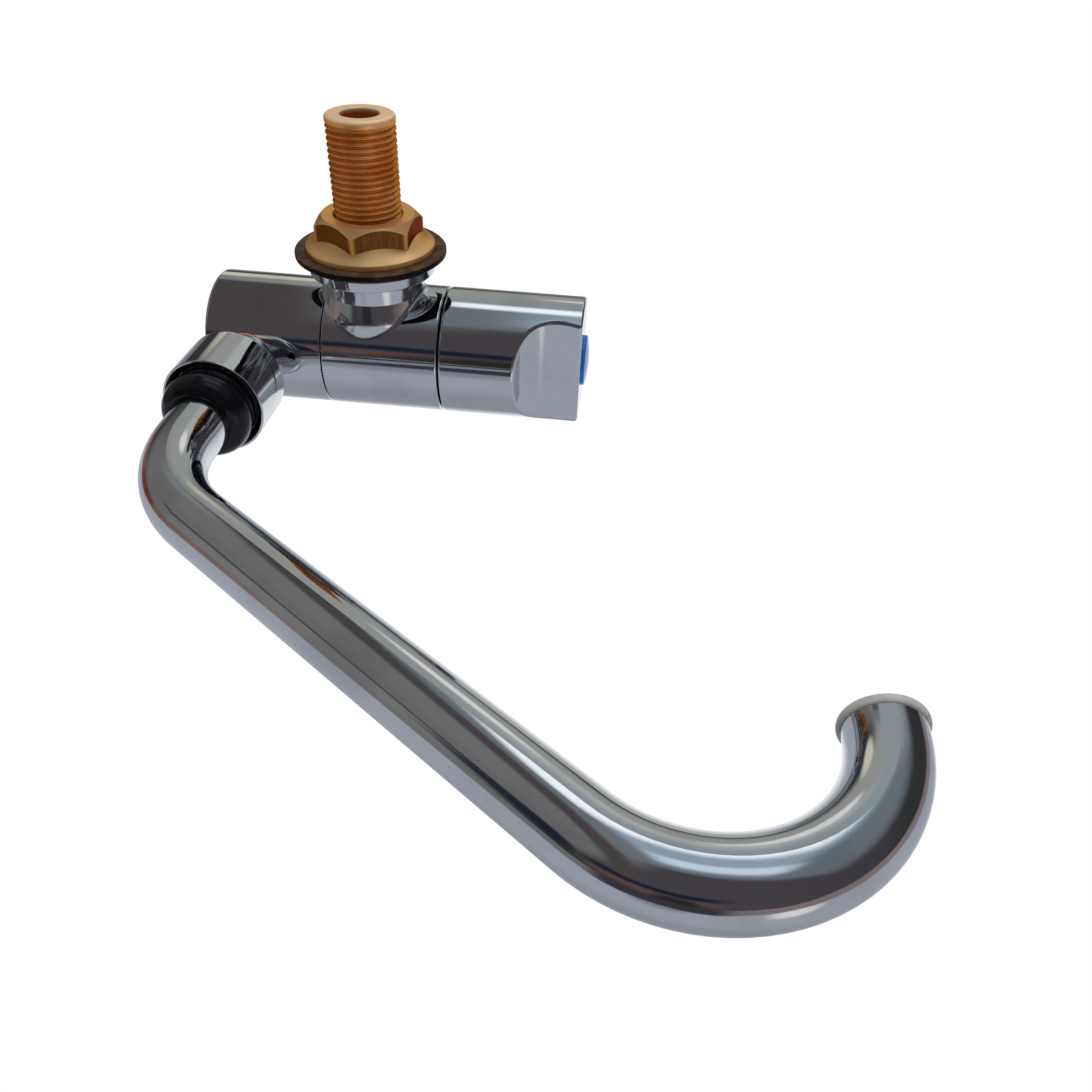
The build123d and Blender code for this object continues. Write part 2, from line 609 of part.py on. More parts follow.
def make_knob_screw():
    """Screw that pulls the knob onto the stem."""
    head_end = cap_pocket_x() + SCREW_CLEARANCE / 2
    head_start = head_end + SCREW_HEAD_HEIGHT
    screw = body_bar(head_end, head_start, SCREW_HEAD_DIAMETER)
    screw += body_bar(head_start - 1, stem_end_x() + SCREW_GRIP, SCREW_DIAMETER)
    centre = (head_end, 0, AXIS_HEIGHT)
    return screw - hexagon(centre, (1, 0, 0), SCREW_SOCKET_FLATS, SCREW_SOCKET_DEPTH, 0)


def make_knob_cap():
    """Blue plastic cap that stands a little out of the knob, with a low dome."""
    crown_x = KNOB_END_X - CAP_PROUD - CAP_DOME
    cap = body_bar(crown_x, cap_pocket_x() - CAP_CLEARANCE, CAP_DIAMETER)
    dome_radius = (CAP_DIAMETER ** 2 / 4 + CAP_DOME ** 2) / (2 * CAP_DOME)
    dome = Pos(crown_x + dome_radius, 0, AXIS_HEIGHT) * Sphere(dome_radius)
    cap &= dome
    shoulder = cap.edges().filter_by(GeomType.CIRCLE).sort_by(Axis.X)[0]
    return fillet(shoulder, CAP_EDGE_RADIUS)


def stop_pin_points():
    """The stop pin's two ends, in the body's face at the head joint."""
    angle = math.radians(STOP_PIN_ANGLE)
    y = STOP_PIN_CIRCLE / 2 * math.cos(angle)
    z = AXIS_HEIGHT + STOP_PIN_CIRCLE / 2 * math.sin(angle)
    start_x = HEAD_JOINT_OFFSET - STOP_PIN_SEAT
    end_x = HEAD_JOINT_OFFSET + STOP_PIN_PROJECTION
    return (start_x, y, z), (end_x, y, z)


def make_fold_stop_pin():
    """Dowel that limits the fold."""
    pin_start, pin_end = stop_pin_points()
    return bar(pin_start, pin_end, STOP_PIN_DIAMETER)


def stop_slot():
    """The arc slot in the head's face that runs over the stop pin."""
    width = STOP_PIN_DIAMETER + 2 * STOP_SLOT_CLEARANCE
    depth = STOP_PIN_PROJECTION + STOP_SLOT_CLEARANCE
    radius = STOP_PIN_CIRCLE / 2
    section = Plane(origin=(HEAD_JOINT_OFFSET + depth / 2, radius, 0)) * Rectangle(depth, width)
    slot = revolve(section, Axis.X, FOLD_TRAVEL)
    slot = Pos(0, 0, AXIS_HEIGHT) * (Rot(STOP_PIN_ANGLE, 0, 0) * slot)
    for turn in (STOP_PIN_ANGLE, STOP_PIN_ANGLE + FOLD_TRAVEL):
        angle = math.radians(turn)
        y = radius * math.cos(angle)
        z = AXIS_HEIGHT + radius * math.sin(angle)
        slot += bar((HEAD_JOINT_OFFSET, y, z), (HEAD_JOINT_OFFSET + depth, y, z), width)
    return slot


def make_spout_head():
    """The chromed head that turns on the hollow spindle and carries the spout's socket."""
    head = body_bar(HEAD_FACE_X, HEAD_END_X, BODY_DIAMETER)
    head = rounded(head, Axis.X, JOINT_EDGE_RADIUS, HEAD_END_EDGE)
    head -= body_bar(HEAD_FACE_X - 1, HEAD_END_X - 1, JOURNAL_DIAMETER + 2 * JOURNAL_CLEARANCE)
    cap_x = HEAD_END_X - END_CAP_THICKNESS
    head -= body_bar(JOURNAL_END_X, cap_x, CHAMBER_DIAMETER)
    head -= body_bar(cap_x, HEAD_END_X + 1, END_CAP_DIAMETER + 2 * THREAD_CLEARANCE)
    head -= stop_slot()
    head -= socket_bar(SEAT_Y, -BODY_RADIUS - 1, SOCKET_NECK_DIAMETER + 2 * THREAD_CLEARANCE)
    return head - socket_bar(0, SEAT_Y, SOCKET_ROOT_DIAMETER + 2 * THREAD_CLEARANCE)


def journal_ring_positions():
    """Middles of the two O-ring grooves on the journal."""
    middle = HEAD_JOINT_OFFSET + JOURNAL_LENGTH / 2
    return [middle - JOURNAL_RING_SPACING / 2, middle + JOURNAL_RING_SPACING / 2]


def make_head_spindle():
    """Hollow brass bolt that the head turns on; it carries the water across the joint."""
    spindle = body_bar(ROOT_START_X, HEAD_JOINT_OFFSET, SPINDLE_ROOT_DIAMETER)
    spindle += body_bar(HEAD_JOINT_OFFSET, JOURNAL_END_X, JOURNAL_DIAMETER)
    spindle += body_bar(JOURNAL_END_X, JOURNAL_END_X + SPINDLE_TIP_LENGTH, SPINDLE_TIP_DIAMETER)
    half = JOURNAL_RING_SECTION / 2 + RING_CLEARANCE
    floor = JOURNAL_DIAMETER - 2 * JOURNAL_RING_SECTION
    for x in journal_ring_positions():
        spindle -= body_bar(x - half, x + half, JOURNAL_DIAMETER + 1) - body_bar(x - half, x + half, floor)
    return spindle - body_bar(ROOT_START_X - 1, JOURNAL_END_X + SPINDLE_TIP_LENGTH + 1, SPINDLE_BORE)


def make_spindle_o_rings():
    """The two O-rings on the journal."""
    mean = JOURNAL_DIAMETER - JOURNAL_RING_SECTION + RING_CLEARANCE
    section = JOURNAL_RING_SECTION - RING_CLEARANCE
    rings = [ring_cord((x, 0, AXIS_HEIGHT), (1, 0, 0), mean, section) for x in journal_ring_positions()]
    return Compound(rings)


def washer_x():
    """Where the thrust washer starts, just clear of the turning head."""
    return JOURNAL_END_X + DISC_GAP


def make_thrust_washer():
    """Plastic washer between the head and the retaining nut."""
    end_x = washer_x() + THRUST_WASHER_THICKNESS
    washer = body_bar(washer_x(), end_x, THRUST_WASHER_DIAMETER)
    return washer - body_bar(washer_x() - 1, end_x + 1, SPINDLE_TIP_DIAMETER + 2 * THREAD_CLEARANCE)


def make_retaining_nut():
    """Thin hexagon nut that keeps the head on its spindle."""
    start_x = washer_x() + THRUST_WASHER_THICKNESS
    centre = (start_x, 0, AXIS_HEIGHT)
    nut = hexagon(centre, (1, 0, 0), RETAINING_NUT_FLATS, RETAINING_NUT_THICKNESS, 0)
    bore_end = start_x + RETAINING_NUT_THICKNESS + 1
    return nut - body_bar(start_x - 1, bore_end, SPINDLE_TIP_DIAMETER + 2 * THREAD_CLEARANCE)


def make_head_bearing_ring():
    """Low-friction ring between the body's face and the head's."""
    start_x = HEAD_JOINT_OFFSET - BEARING_RING_THICKNESS
    end_x = HEAD_FACE_X - DISC_GAP
    ring = body_bar(start_x, end_x, BEARING_RING_OUTER - 2 * RING_CLEARANCE)
    return ring - body_bar(start_x - 1, end_x + 1, BEARING_RING_INNER + 2 * RING_CLEARANCE)


def make_head_end_cap():
    """Flush chromed plug in the head's free end, with its O-ring groove."""
    start_x = HEAD_END_X - END_CAP_THICKNESS
    cap = body_bar(start_x, HEAD_END_X, END_CAP_DIAMETER)
    outer_edge = cap.edges().filter_by(GeomType.CIRCLE).sort_by(Axis.X)[-1]
    cap = fillet(outer_edge, JOINT_EDGE_RADIUS)
    groove_end = start_x + END_CAP_RING_SECTION + RING_CLEARANCE
    groove = body_bar(start_x - 1, groove_end, END_CAP_DIAMETER + 1)
    floor = END_CAP_DIAMETER - 2 * END_CAP_RING_SECTION
    return cap - (groove - body_bar(start_x - 1, groove_end, floor))


def make_end_cap_o_ring():
    """Seals the end cap in the head."""
    middle_x = HEAD_END_X - END_CAP_THICKNESS + END_CAP_RING_SECTION / 2
    mean = END_CAP_DIAMETER - END_CAP_RING_SECTION + RING_CLEARANCE
    section = END_CAP_RING_SECTION - RING_CLEARANCE
    return ring_cord((middle_x, 0, AXIS_HEIGHT), (1, 0, 0), mean, section)


def make_spout_socket():
    """Chromed turning: threaded root, short neck and the cup that the pipe turns in."""
    cup = socket_bar(CUP_BACK_Y, MOUTH_Y, SOCKET_DIAMETER)
    cup = rounded(cup, Axis.Y, SOCKET_LIP_EDGE, SOCKET_BACK_EDGE)
    cup += socket_bar(NECK_FOOT_Y, CUP_BACK_Y - 1, SOCKET_NECK_DIAMETER)
    cup += socket_bar(NECK_FOOT_Y + SOCKET_ROOT_LENGTH, NECK_FOOT_Y, SOCKET_ROOT_DIAMETER)
    cup -= socket_bar(0, MOUTH_Y, SOCKET_WATERWAY)
    cup -= socket_bar(CUP_FLOOR_Y, MOUTH_Y, SOCKET_BORE)
    cup -= socket_bar(GLAND_BACK_Y, MOUTH_Y - 1, MOUTH_BORE)
    flare = Plane(origin=(SPOUT_OFFSET, GLAND_FRONT_Y, AXIS_HEIGHT), z_dir=(0, -1, 0))
    return cup - Solid.make_cone(MOUTH_BORE / 2, MOUTH_FLARE_DIAMETER / 2, MOUTH_FLARE_DEPTH, flare)


def make_socket_washer():
    """Fibre washer under the neck's shoulder."""
    washer = socket_bar(SEAT_Y, NECK_FOOT_Y, SOCKET_NECK_DIAMETER)
    return washer - socket_bar(SEAT_Y + 1, NECK_FOOT_Y - 1, SOCKET_ROOT_DIAMETER + 2 * THREAD_CLEARANCE)


def make_gland_ring():
    """Black plastic ring screwed into the cup's mouth; it traps the pipe's ferrule."""
    ring = socket_bar(GLAND_BACK_Y, GLAND_FRONT_Y, MOUTH_BORE - 2 * THREAD_CLEARANCE)
    pipe_hole = PIPE_DIAMETER + 2 * GLAND_PIPE_CLEARANCE
    return ring - socket_bar(GLAND_BACK_Y + 1, GLAND_FRONT_Y - 1, pipe_hole)


def make_spout_bead():
    """Black rubber bead on the pipe: it fills the cup's mouth and tapers down to the pipe."""
    bore_radius = PIPE_DIAMETER / 2 + BRAZE_CLEARANCE
    points = [
        (bore_radius, 0),
        (BEAD_BACK_DIAMETER / 2, 0),
        (BEAD_DIAMETER / 2, BEAD_CREST),
        (BEAD_FRONT_DIAMETER / 2, BEAD_LENGTH),
        (bore_radius, BEAD_LENGTH),
    ]
    bead = turned(points, {1: BEAD_END_EDGE, 2: BEAD_EDGE, 3: BEAD_END_EDGE})
    place = Plane(origin=(SPOUT_OFFSET, GLAND_FRONT_Y - BEAD_GAP, AXIS_HEIGHT), z_dir=(0, -1, 0))
    return place * bead


def thrust_ring_y():
    """The thrust ring's face towards the gland."""
    return GLAND_BACK_Y + RING_CLEARANCE


def make_thrust_ring():
    """Slippery ring between the ferrule and the gland."""
    back_y = thrust_ring_y() + THRUST_RING_THICKNESS
    ring = socket_bar(back_y, thrust_ring_y(), SOCKET_BORE - 2 * FERRULE_CLEARANCE)
    return ring - socket_bar(back_y + 1, thrust_ring_y() - 1, PIPE_DIAMETER + 2 * BRAZE_CLEARANCE)


def ferrule_ends():
    """The ferrule's two ends along the swivel axis."""
    return thrust_ring_y() + THRUST_RING_THICKNESS, CUP_FLOOR_Y - FERRULE_END_GAP


def ferrule_ring_positions():
    """Middles of the ferrule's two O-ring grooves."""
    front_y, back_y = ferrule_ends()
    middle = (front_y + back_y) / 2
    return [middle - FERRULE_RING_SPACING / 2, middle + FERRULE_RING_SPACING / 2]


def make_pipe_ferrule():
    """Brass ferrule brazed on the pipe's end, with two O-ring grooves."""
    front_y, back_y = ferrule_ends()
    outer = SOCKET_BORE - 2 * FERRULE_CLEARANCE
    ferrule = socket_bar(back_y, front_y, outer)
    half = FERRULE_RING_SECTION / 2 + RING_CLEARANCE
    for y in ferrule_ring_positions():
        floor = socket_bar(y + half, y - half, SOCKET_BORE - 2 * FERRULE_RING_SECTION)
        ferrule -= socket_bar(y + half, y - half, outer + 1) - floor
    ferrule -= socket_bar(back_y + 1, front_y - 1, PIPE_DIAMETER - 2 * PIPE_WALL)
    return ferrule - socket_bar(pipe_start_y(), front_y - 1, PIPE_DIAMETER + 2 * BRAZE_CLEARANCE)


def make_ferrule_o_rings():
    """The two O-rings that seal the turning pipe in the cup."""
    section = FERRULE_RING_SECTION - RING_CLEARANCE
    mean = SOCKET_BORE - FERRULE_RING_SECTION
    rings = []
    for y in ferrule_ring_positions():
        rings.append(ring_cord((SPOUT_OFFSET, y, AXIS_HEIGHT), (0, 1, 0), mean, section))
    return Compound(rings)


def pipe_start_y():
    """The pipe's inner end, against the ferrule's lip."""
    return CUP_FLOOR_Y - FERRULE_END_GAP - PIPE_FERRULE_LIP


def pipe_path():
    """Centre line in the level plane: out of the cup, a bend, the long reach and the hook."""
    bend_start_y = MOUTH_Y - PIPE_FIRST_STRAIGHT
    first = Line((0, pipe_start_y()), (0, bend_start_y))
    bend = JernArc(first @ 1, first % 1, PIPE_BEND_RADIUS, -PIPE_BEND_ANGLE)
    reach = Line(bend @ 1, bend @ 1 + (bend % 1) * PIPE_REACH_LENGTH)
    hook = JernArc(reach @ 1, reach % 1, PIPE_HOOK_RADIUS, -HOOK_TURN)
    tail = Line(hook @ 1, hook @ 1 + (hook % 1) * PIPE_TAIL)
    return Pos(SPOUT_OFFSET, 0, AXIS_HEIGHT) * Wire([first, bend, reach, hook, tail])


def make_spout_pipe():
    """Chromed tube of round section, bent in one plane."""
    path = pipe_path()
    start = Plane(origin=path @ 0, z_dir=path % 0)
    outer = sweep(start * Circle(PIPE_DIAMETER / 2), path=path)
    inner = sweep(start * Circle(PIPE_DIAMETER / 2 - PIPE_WALL), path=path)
    return outer - inner


def make_outlet_insert():
    """Grey plastic nozzle: a rounded flange, a tapered spigot in the hook and calming vanes."""
    path = pipe_path()
    spigot_radius = PIPE_DIAMETER / 2 - PIPE_WALL - INSERT_CLEARANCE
    bend_allowance = INSERT_SPIGOT_LENGTH ** 2 / (2 * PIPE_HOOK_RADIUS - PIPE_DIAMETER)
    inner_end = Plane((0, 0, -INSERT_SPIGOT_LENGTH))
    spigot = Solid.make_cone(
        spigot_radius - bend_allowance, spigot_radius, INSERT_SPIGOT_LENGTH, inner_end
    )
    flange = Solid.make_cylinder(INSERT_FLANGE_DIAMETER / 2, INSERT_FLANGE_THICKNESS)
    flange = rounded(flange, Axis.Z, INSERT_FLANGE_EDGE, INSERT_FLANGE_EDGE)
    length = INSERT_SPIGOT_LENGTH + INSERT_FLANGE_THICKNESS
    recess = Plane((0, 0, INSERT_FLANGE_THICKNESS - MOUTH_RECESS))
    insert = spigot + flange - Solid.make_cylinder(INSERT_MOUTH / 2, MOUTH_RECESS, recess)
    insert -= Solid.make_cylinder(INSERT_WATERWAY / 2, length, inner_end)
    vane_size = (INSERT_WATERWAY + VANE_THICKNESS, VANE_THICKNESS, length - MOUTH_RECESS)
    vane = inner_end * Box(*vane_size, align=(Align.CENTER, Align.CENTER, Align.MIN))
    for index in range(VANE_COUNT):
        insert += Rot(0, 0, index * 180 / VANE_COUNT) * vane
    return Plane(origin=path @ 1, z_dir=path % 1) * insert


def write(node, shape):
    """Write one sub-part's STEP file."""
    solids = shape.solids()
    shape = solids[0] if len(solids) == 1 else Compound(solids)
    shape.label = node
    export_step(shape, f"parts/{node}.step")


PARTS = {
    "valve_body": make_valve_body,
    "inlet_shank": make_inlet_shank,
    "base_o_ring": make_base_o_ring,
    "deck_gasket": make_deck_gasket,
    "mounting_nut": make_mounting_nut,
    "cartridge_body": make_cartridge_body,
    "cartridge_face_o_ring": make_cartridge_face_ring,
    "cartridge_seat_seal": make_seat_seal,
    "ceramic_disc_lower": make_lower_disc,
    "ceramic_disc_upper": make_upper_disc,
    "cartridge_stem": make_cartridge_stem,
    "stem_o_ring": make_stem_o_ring,
    "stem_clip": make_stem_clip,
    "knob": make_knob,
    "knob_screw": make_knob_screw,
    "knob_cap": make_knob_cap,
    "head_spindle": make_head_spindle,
    "spindle_o_rings": make_spindle_o_rings,
    "thrust_washer": make_thrust_washer,
    "retaining_nut": make_retaining_nut,
    "head_bearing_ring": make_head_bearing_ring,
    "fold_stop_pin": make_fold_stop_pin,
    "spout_head": make_spout_head,
    "head_end_cap": make_head_end_cap,
    "end_cap_o_ring": make_end_cap_o_ring,
    "spout_socket": make_spout_socket,
    "socket_washer": make_socket_washer,
    "gland_ring": make_gland_ring,
    "spout_bead": make_spout_bead,
    "spout_thrust_ring": make_thrust_ring,
    "pipe_ferrule": make_pipe_ferrule,
    "ferrule_o_rings": make_ferrule_o_rings,
    "spout_pipe": make_spout_pipe,
    "outlet_insert": make_outlet_insert,
}

os.makedirs("parts", exist_ok=True)
for part_name, make_part in PARTS.items():
    write(part_name, make_part())
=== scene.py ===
import math

import bmesh
import bpy
from mathutils import Euler, Matrix, Vector


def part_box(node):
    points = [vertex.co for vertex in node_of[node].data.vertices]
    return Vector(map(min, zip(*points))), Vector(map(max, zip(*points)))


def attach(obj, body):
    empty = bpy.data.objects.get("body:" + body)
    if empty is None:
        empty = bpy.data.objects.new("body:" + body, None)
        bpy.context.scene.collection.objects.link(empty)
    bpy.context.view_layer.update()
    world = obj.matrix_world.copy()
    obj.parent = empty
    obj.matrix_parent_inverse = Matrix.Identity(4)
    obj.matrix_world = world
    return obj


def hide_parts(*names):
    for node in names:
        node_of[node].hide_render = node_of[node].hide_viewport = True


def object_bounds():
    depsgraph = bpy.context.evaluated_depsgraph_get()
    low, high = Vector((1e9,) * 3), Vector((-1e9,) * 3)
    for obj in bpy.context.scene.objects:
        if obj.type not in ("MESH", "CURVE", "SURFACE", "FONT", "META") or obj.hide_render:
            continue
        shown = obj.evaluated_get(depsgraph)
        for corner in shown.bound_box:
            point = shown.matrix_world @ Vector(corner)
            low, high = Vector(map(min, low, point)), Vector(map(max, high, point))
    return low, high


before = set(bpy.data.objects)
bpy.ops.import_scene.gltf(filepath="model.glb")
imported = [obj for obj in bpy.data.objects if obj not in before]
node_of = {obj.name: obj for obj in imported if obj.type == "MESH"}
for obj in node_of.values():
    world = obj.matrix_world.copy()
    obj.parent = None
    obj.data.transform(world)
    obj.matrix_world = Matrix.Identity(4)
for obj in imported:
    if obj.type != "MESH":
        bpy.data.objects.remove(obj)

cad_box = [list(corner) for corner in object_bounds()]


# Valve body
# The brass casting in the middle of the tap: turned, polished and chromed all over. Its skin is a
# mirror with a slight ripple from the polishing wheel, some haze, fine scratches and a few pits.
class Wire:
    """A socket of a node tree. Sums and products of wires add Math nodes, node() any other."""

    def __init__(self, tree, socket=None):
        self.tree = tree
        self.socket = socket

    def node(self, kind, settings=None, sockets=None, output=0):
        made = self.tree.nodes.new(kind)
        for name, value in (settings or {}).items():
            setattr(made, name, value)
        for key, value in (sockets or {}).items():
            if isinstance(value, Wire):
                self.tree.links.new(value.socket, made.inputs[key])
            else:
                made.inputs[key].default_value = value
        return Wire(self.tree, made.outputs[output] if made.outputs else None)

    def sums(self, operation, *terms):
        return self.node("ShaderNodeMath", {"operation": operation}, dict(enumerate(terms)))

    def __add__(self, other):
        return self.sums("ADD", self, other)

    def __sub__(self, other):
        return self.sums("SUBTRACT", self, other)

    def __mul__(self, other):
        return self.sums("MULTIPLY", self, other)

    def __truediv__(self, other):
        return self.sums("DIVIDE", self, other)

    def __rsub__(self, other):
        return self.sums("SUBTRACT", other, self)

    __radd__ = __add__
    __rmul__ = __mul__

    def ease(self, start, end):
        """0 at start, 1 at end, with a soft run between them."""
        return self.node(
            "ShaderNodeMapRange", {"interpolation_type": "SMOOTHSTEP"}, {0: self, 1: start, 2: end}
        )

    def blend(self, low, high):
        """From one colour to another as this wire goes from 0 to 1."""
        return self.node("ShaderNodeMix", {"data_type": "RGBA"}, {0: self, 6: low, 7: high}, 2)

    def other(self, output):
        """Another output of the same node."""
        return Wire(self.tree, self.socket.node.outputs[output])


def open_finish(name):
    """A new material, the empty tree to draw it in, and the piece's own coordinates."""
    material = bpy.data.materials.new(name)
    material.use_nodes = True
    material.node_tree.nodes.clear()
    draw = Wire(material.node_tree)
    return material, draw, draw.node("ShaderNodeTexCoord", output="Object")


def close_finish(draw, **sockets):
    """Principled surface and output; words of a socket's name are joined by underscores."""
    named = {key.replace("_", " "): value for key, value in sockets.items()}
    surface = draw.node("ShaderNodeBsdfPrincipled", {}, named)
    draw.node("ShaderNodeOutputMaterial", {}, {"Surface": surface})


def noise(draw, place, scale, detail):
    """Soft random clouds from 0 to 1; scale is how many to a metre."""
    return draw.node("ShaderNodeTexNoise", {}, {"Vector": place, "Scale": scale, "Detail": detail})


def bumped(draw, distance, height, strength):
    """A surface tilted by a height, where 1 stands for distance metres."""
    sockets = {"Strength": strength, "Distance": distance, "Height": height}
    return draw.node("ShaderNodeBump", {}, sockets)


def speckle(draw, place, scale, share, spread):
    """1 in small round spots: scale is cells per metre, share how many cells hold one."""
    cells = draw.node("ShaderNodeTexVoronoi", {}, {"Vector": place, "Scale": scale})
    chance = draw.node("ShaderNodeSeparateColor", {}, {0: cells.other("Color")})
    return chance.ease(share, share * 0.8) * cells.ease(spread, spread * 0.5)


def hairlines(draw, place, turn, scale, width, patch_scale=70.0):
    """1 along thin broken scratches: turn lays them out, scale stretches them along X."""
    lay = draw.node("ShaderNodeMapping", {}, {"Vector": place, "Rotation": turn, "Scale": scale})
    patch = noise(draw, place, patch_scale, detail=1.0)
    middle_line = draw.sums("ABSOLUTE", noise(draw, lay, scale=1.0, detail=0.0) - 0.5)
    return middle_line.ease(width, 0.0) * patch.ease(0.50, 0.64)


def cover(finish, *names):
    """Give CAD nodes a finish."""
    for name in names:
        for slot in node_of[name].material_slots:
            slot.material = finish


CHROME = (0.62, 0.63, 0.65, 1.0)
CHROME_HAZED = (0.54, 0.55, 0.57, 1.0)
CHROME_PIT = (0.20, 0.19, 0.18, 1.0)
CHROME_RIPPLE = 0.000001

mirror_chrome, draw, place = open_finish("mirror_chrome")
fog = noise(draw, place, scale=55.0, detail=4.0).ease(0.50, 0.74)
pits = speckle(draw, place, scale=520.0, share=0.05, spread=0.10)
scratches = draw.sums(
    "MAXIMUM",
    hairlines(draw, place, turn=(0.3, 0.5, 0.9), scale=(90.0, 2600.0, 2600.0), width=0.012),
    hairlines(draw, place, turn=(1.1, -0.4, -0.5), scale=(120.0, 3100.0, 3100.0), width=0.010),
)
wheel_marks = noise(draw, place, scale=130.0, detail=1.0)
fine_marks = noise(draw, place, scale=900.0, detail=2.0)
dents = pits * 4.0 + scratches * 0.5
close_finish(
    draw,
    Base_Color=pits.blend(fog.blend(CHROME, CHROME_HAZED), CHROME_PIT),
    Metallic=1.0,
    Roughness=0.045 + fog * 0.05 + pits * 0.3 + scratches * 0.16,
    Normal=bumped(draw, CHROME_RIPPLE, wheel_marks * 3.0 + fine_marks * 0.12 - dents, strength=1.0),
)
cover(mirror_chrome, "valve_body")


# Inlet shank
# A brass tube with a G 1/2 pipe thread cut from its end to the base, screwed into the body. The
# thread is real: a turned tube whose wall is pushed in along a helix with rounded tops and roots.
SHANK_RADIUS = 0.0104775
SHANK_BORE_RADIUS = 0.0058
SHANK_SIDES = 96
SHANK_END_ROUND = 0.0011
BORE_END_ROUND = 0.0005
ROUND_STEPS = 6
TOP_LAND = 0.0004
DECK_Z = 0.0
THREAD_PITCH = 0.001814
THREAD_DEPTH = 0.00085
THREAD_TOP = -0.0002
THREAD_RUN_OUT = 0.0014
THREAD_FLAT_SHARE = 0.06  # of the flank, at the top and at the root
PLAIN_LEAD = 0.0017
ROWS_PER_TURN = 14
WALL_SLACK = 0.00002  # a point this near the wall is on it
SPARE_TURNS = 100.0  # keeps the count of turns above zero
THREAD_INPUTS = ("Wall Radius", "Pitch", "Depth", "Low End", "High End", "Run-out")

shank_low, shank_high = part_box("inlet_shank")
shank_end, shank_top = shank_low.z, shank_high.z
nut_foot_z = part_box("mounting_nut")[0].z
row_height = THREAD_PITCH / ROWS_PER_TURN
wall_start = shank_end + SHANK_END_ROUND
wall_rows = int((DECK_Z - wall_start) / row_height)


def turned(name, outline, sides):
    """A closed ring turned about Z from (radius, z) points, its outside on the right going up."""
    mesh = bmesh.new()
    rings = []
    for radius, z in outline:
        ring = []
        for side in range(sides):
            angle = 2 * math.pi * side / sides
            ring.append(mesh.verts.new((radius * math.cos(angle), radius * math.sin(angle), z)))
        rings.append(ring)
    for lower, upper in zip(rings, rings[1:] + rings[:1]):
        for side in range(sides):
            after = (side + 1) % sides
            mesh.faces.new((lower[side], lower[after], upper[after], upper[side])).smooth = True
    data = bpy.data.meshes.new(name)
    mesh.to_mesh(data)
    mesh.free()
    piece = bpy.data.objects.new(name, data)
    bpy.context.scene.collection.objects.link(piece)
    return piece


def quarter(radius, z, size, start):
    """Points of a quarter circle about (radius, z), from start degrees on; 0 is outward."""
    turns = [math.radians(start + 90.0 * step / ROUND_STEPS) for step in range(ROUND_STEPS + 1)]
    return [(radius + size * math.cos(turn), z + size * math.sin(turn)) for turn in turns]


shank_outline = [(SHANK_BORE_RADIUS, shank_top), (SHANK_BORE_RADIUS, nut_foot_z)]
shank_outline += quarter(
    SHANK_BORE_RADIUS + BORE_END_ROUND, shank_end + BORE_END_ROUND, BORE_END_ROUND, 180.0
)
shank_outline += quarter(SHANK_RADIUS - SHANK_END_ROUND, wall_start, SHANK_END_ROUND, 270.0)[:-1]
shank_outline += [(SHANK_RADIUS, wall_start + row * row_height) for row in range(wall_rows)]
shank_outline += [(SHANK_RADIUS, z) for z in (DECK_Z, shank_top - TOP_LAND, shank_top)]
threaded_shank = turned("threaded_shank", shank_outline, SHANK_SIDES)


def axes(draw, place):
    """The X, Y and Z of a place."""
    east = draw.node("ShaderNodeSeparateXYZ", {}, {0: place})
    return east, east.other("Y"), east.other("Z")


def thread_tree(finish):
    """Geometry Nodes that cut a right-hand thread into the outer wall of a turned piece."""
    tree = bpy.data.node_groups.new("pipe_thread", "GeometryNodeTree")
    tree.interface.new_socket("Geometry", in_out="INPUT", socket_type="NodeSocketGeometry")
    for label in THREAD_INPUTS:
        tree.interface.new_socket(label, in_out="INPUT", socket_type="NodeSocketFloat")
    tree.interface.new_socket("Geometry", in_out="OUTPUT", socket_type="NodeSocketGeometry")
    draw = Wire(tree)
    given = draw.node("NodeGroupInput")
    wall, pitch, depth, low, high, run_out = [given.other(label) for label in THREAD_INPUTS]
    east, north, height = axes(draw, draw.node("GeometryNodeInputPosition"))
    radius = draw.sums("SQRT", east * east + north * north)
    turn = draw.sums("ARCTAN2", north, east) / (2 * math.pi)
    along_pitch = draw.sums("FRACT", height / pitch - turn + SPARE_TURNS)
    slope = draw.sums("ABSOLUTE", along_pitch * 2.0 - 1.0)
    groove = slope.ease(1.0 - THREAD_FLAT_SHARE, THREAD_FLAT_SHARE)
    from_ends = draw.sums("MINIMUM", (height - low) / run_out, (high - height) / run_out)
    outer = draw.sums("GREATER_THAN", radius, wall - WALL_SLACK)
    share = (depth * groove * from_ends.ease(0.0, 1.0) * outer) / radius
    inward = draw.node("ShaderNodeCombineXYZ", {}, {0: east * share * -1.0, 1: north * share * -1.0})
    cut = draw.node("GeometryNodeSetPosition", {}, {"Geometry": given, "Offset": inward})
    real = draw.node("GeometryNodeRealizeInstances", {}, {0: cut})
    clad = draw.node("GeometryNodeSetMaterial", {}, {"Geometry": real, "Material": finish})
    draw.node("NodeGroupOutput", {}, {0: clad})
    return tree


def grown(piece, tree, inputs):
    """The plain mesh that a Geometry Nodes tree makes of a piece, which then takes its place."""
    modifier = piece.modifiers.new("grown", "NODES")
    modifier.node_group = tree
    for item in tree.interface.items_tree:
        if item.name in inputs and item.in_out == "INPUT":
            modifier[item.identifier] = inputs[item.name]
    drawn = bpy.context.evaluated_depsgraph_get()
    result = bpy.data.meshes.new_from_object(piece.evaluated_get(drawn))
    piece.modifiers.remove(modifier)
    piece.data = result
    result.name = piece.name


def about_axis(draw, place):
    """How far a place is from the shank's axis, and how high it is."""
    east, north, height = axes(draw, place)
    return draw.sums("SQRT", east * east + north * north), height


def lathe_marks(draw, radius, height, lines):
    """Fine rings about the axis, as a turning tool leaves them; lines is how many to a metre."""
    lathe = draw.node("ShaderNodeCombineXYZ", {}, {0: radius * lines, 1: height * lines})
    return noise(draw, lathe, scale=1.0, detail=2.0)


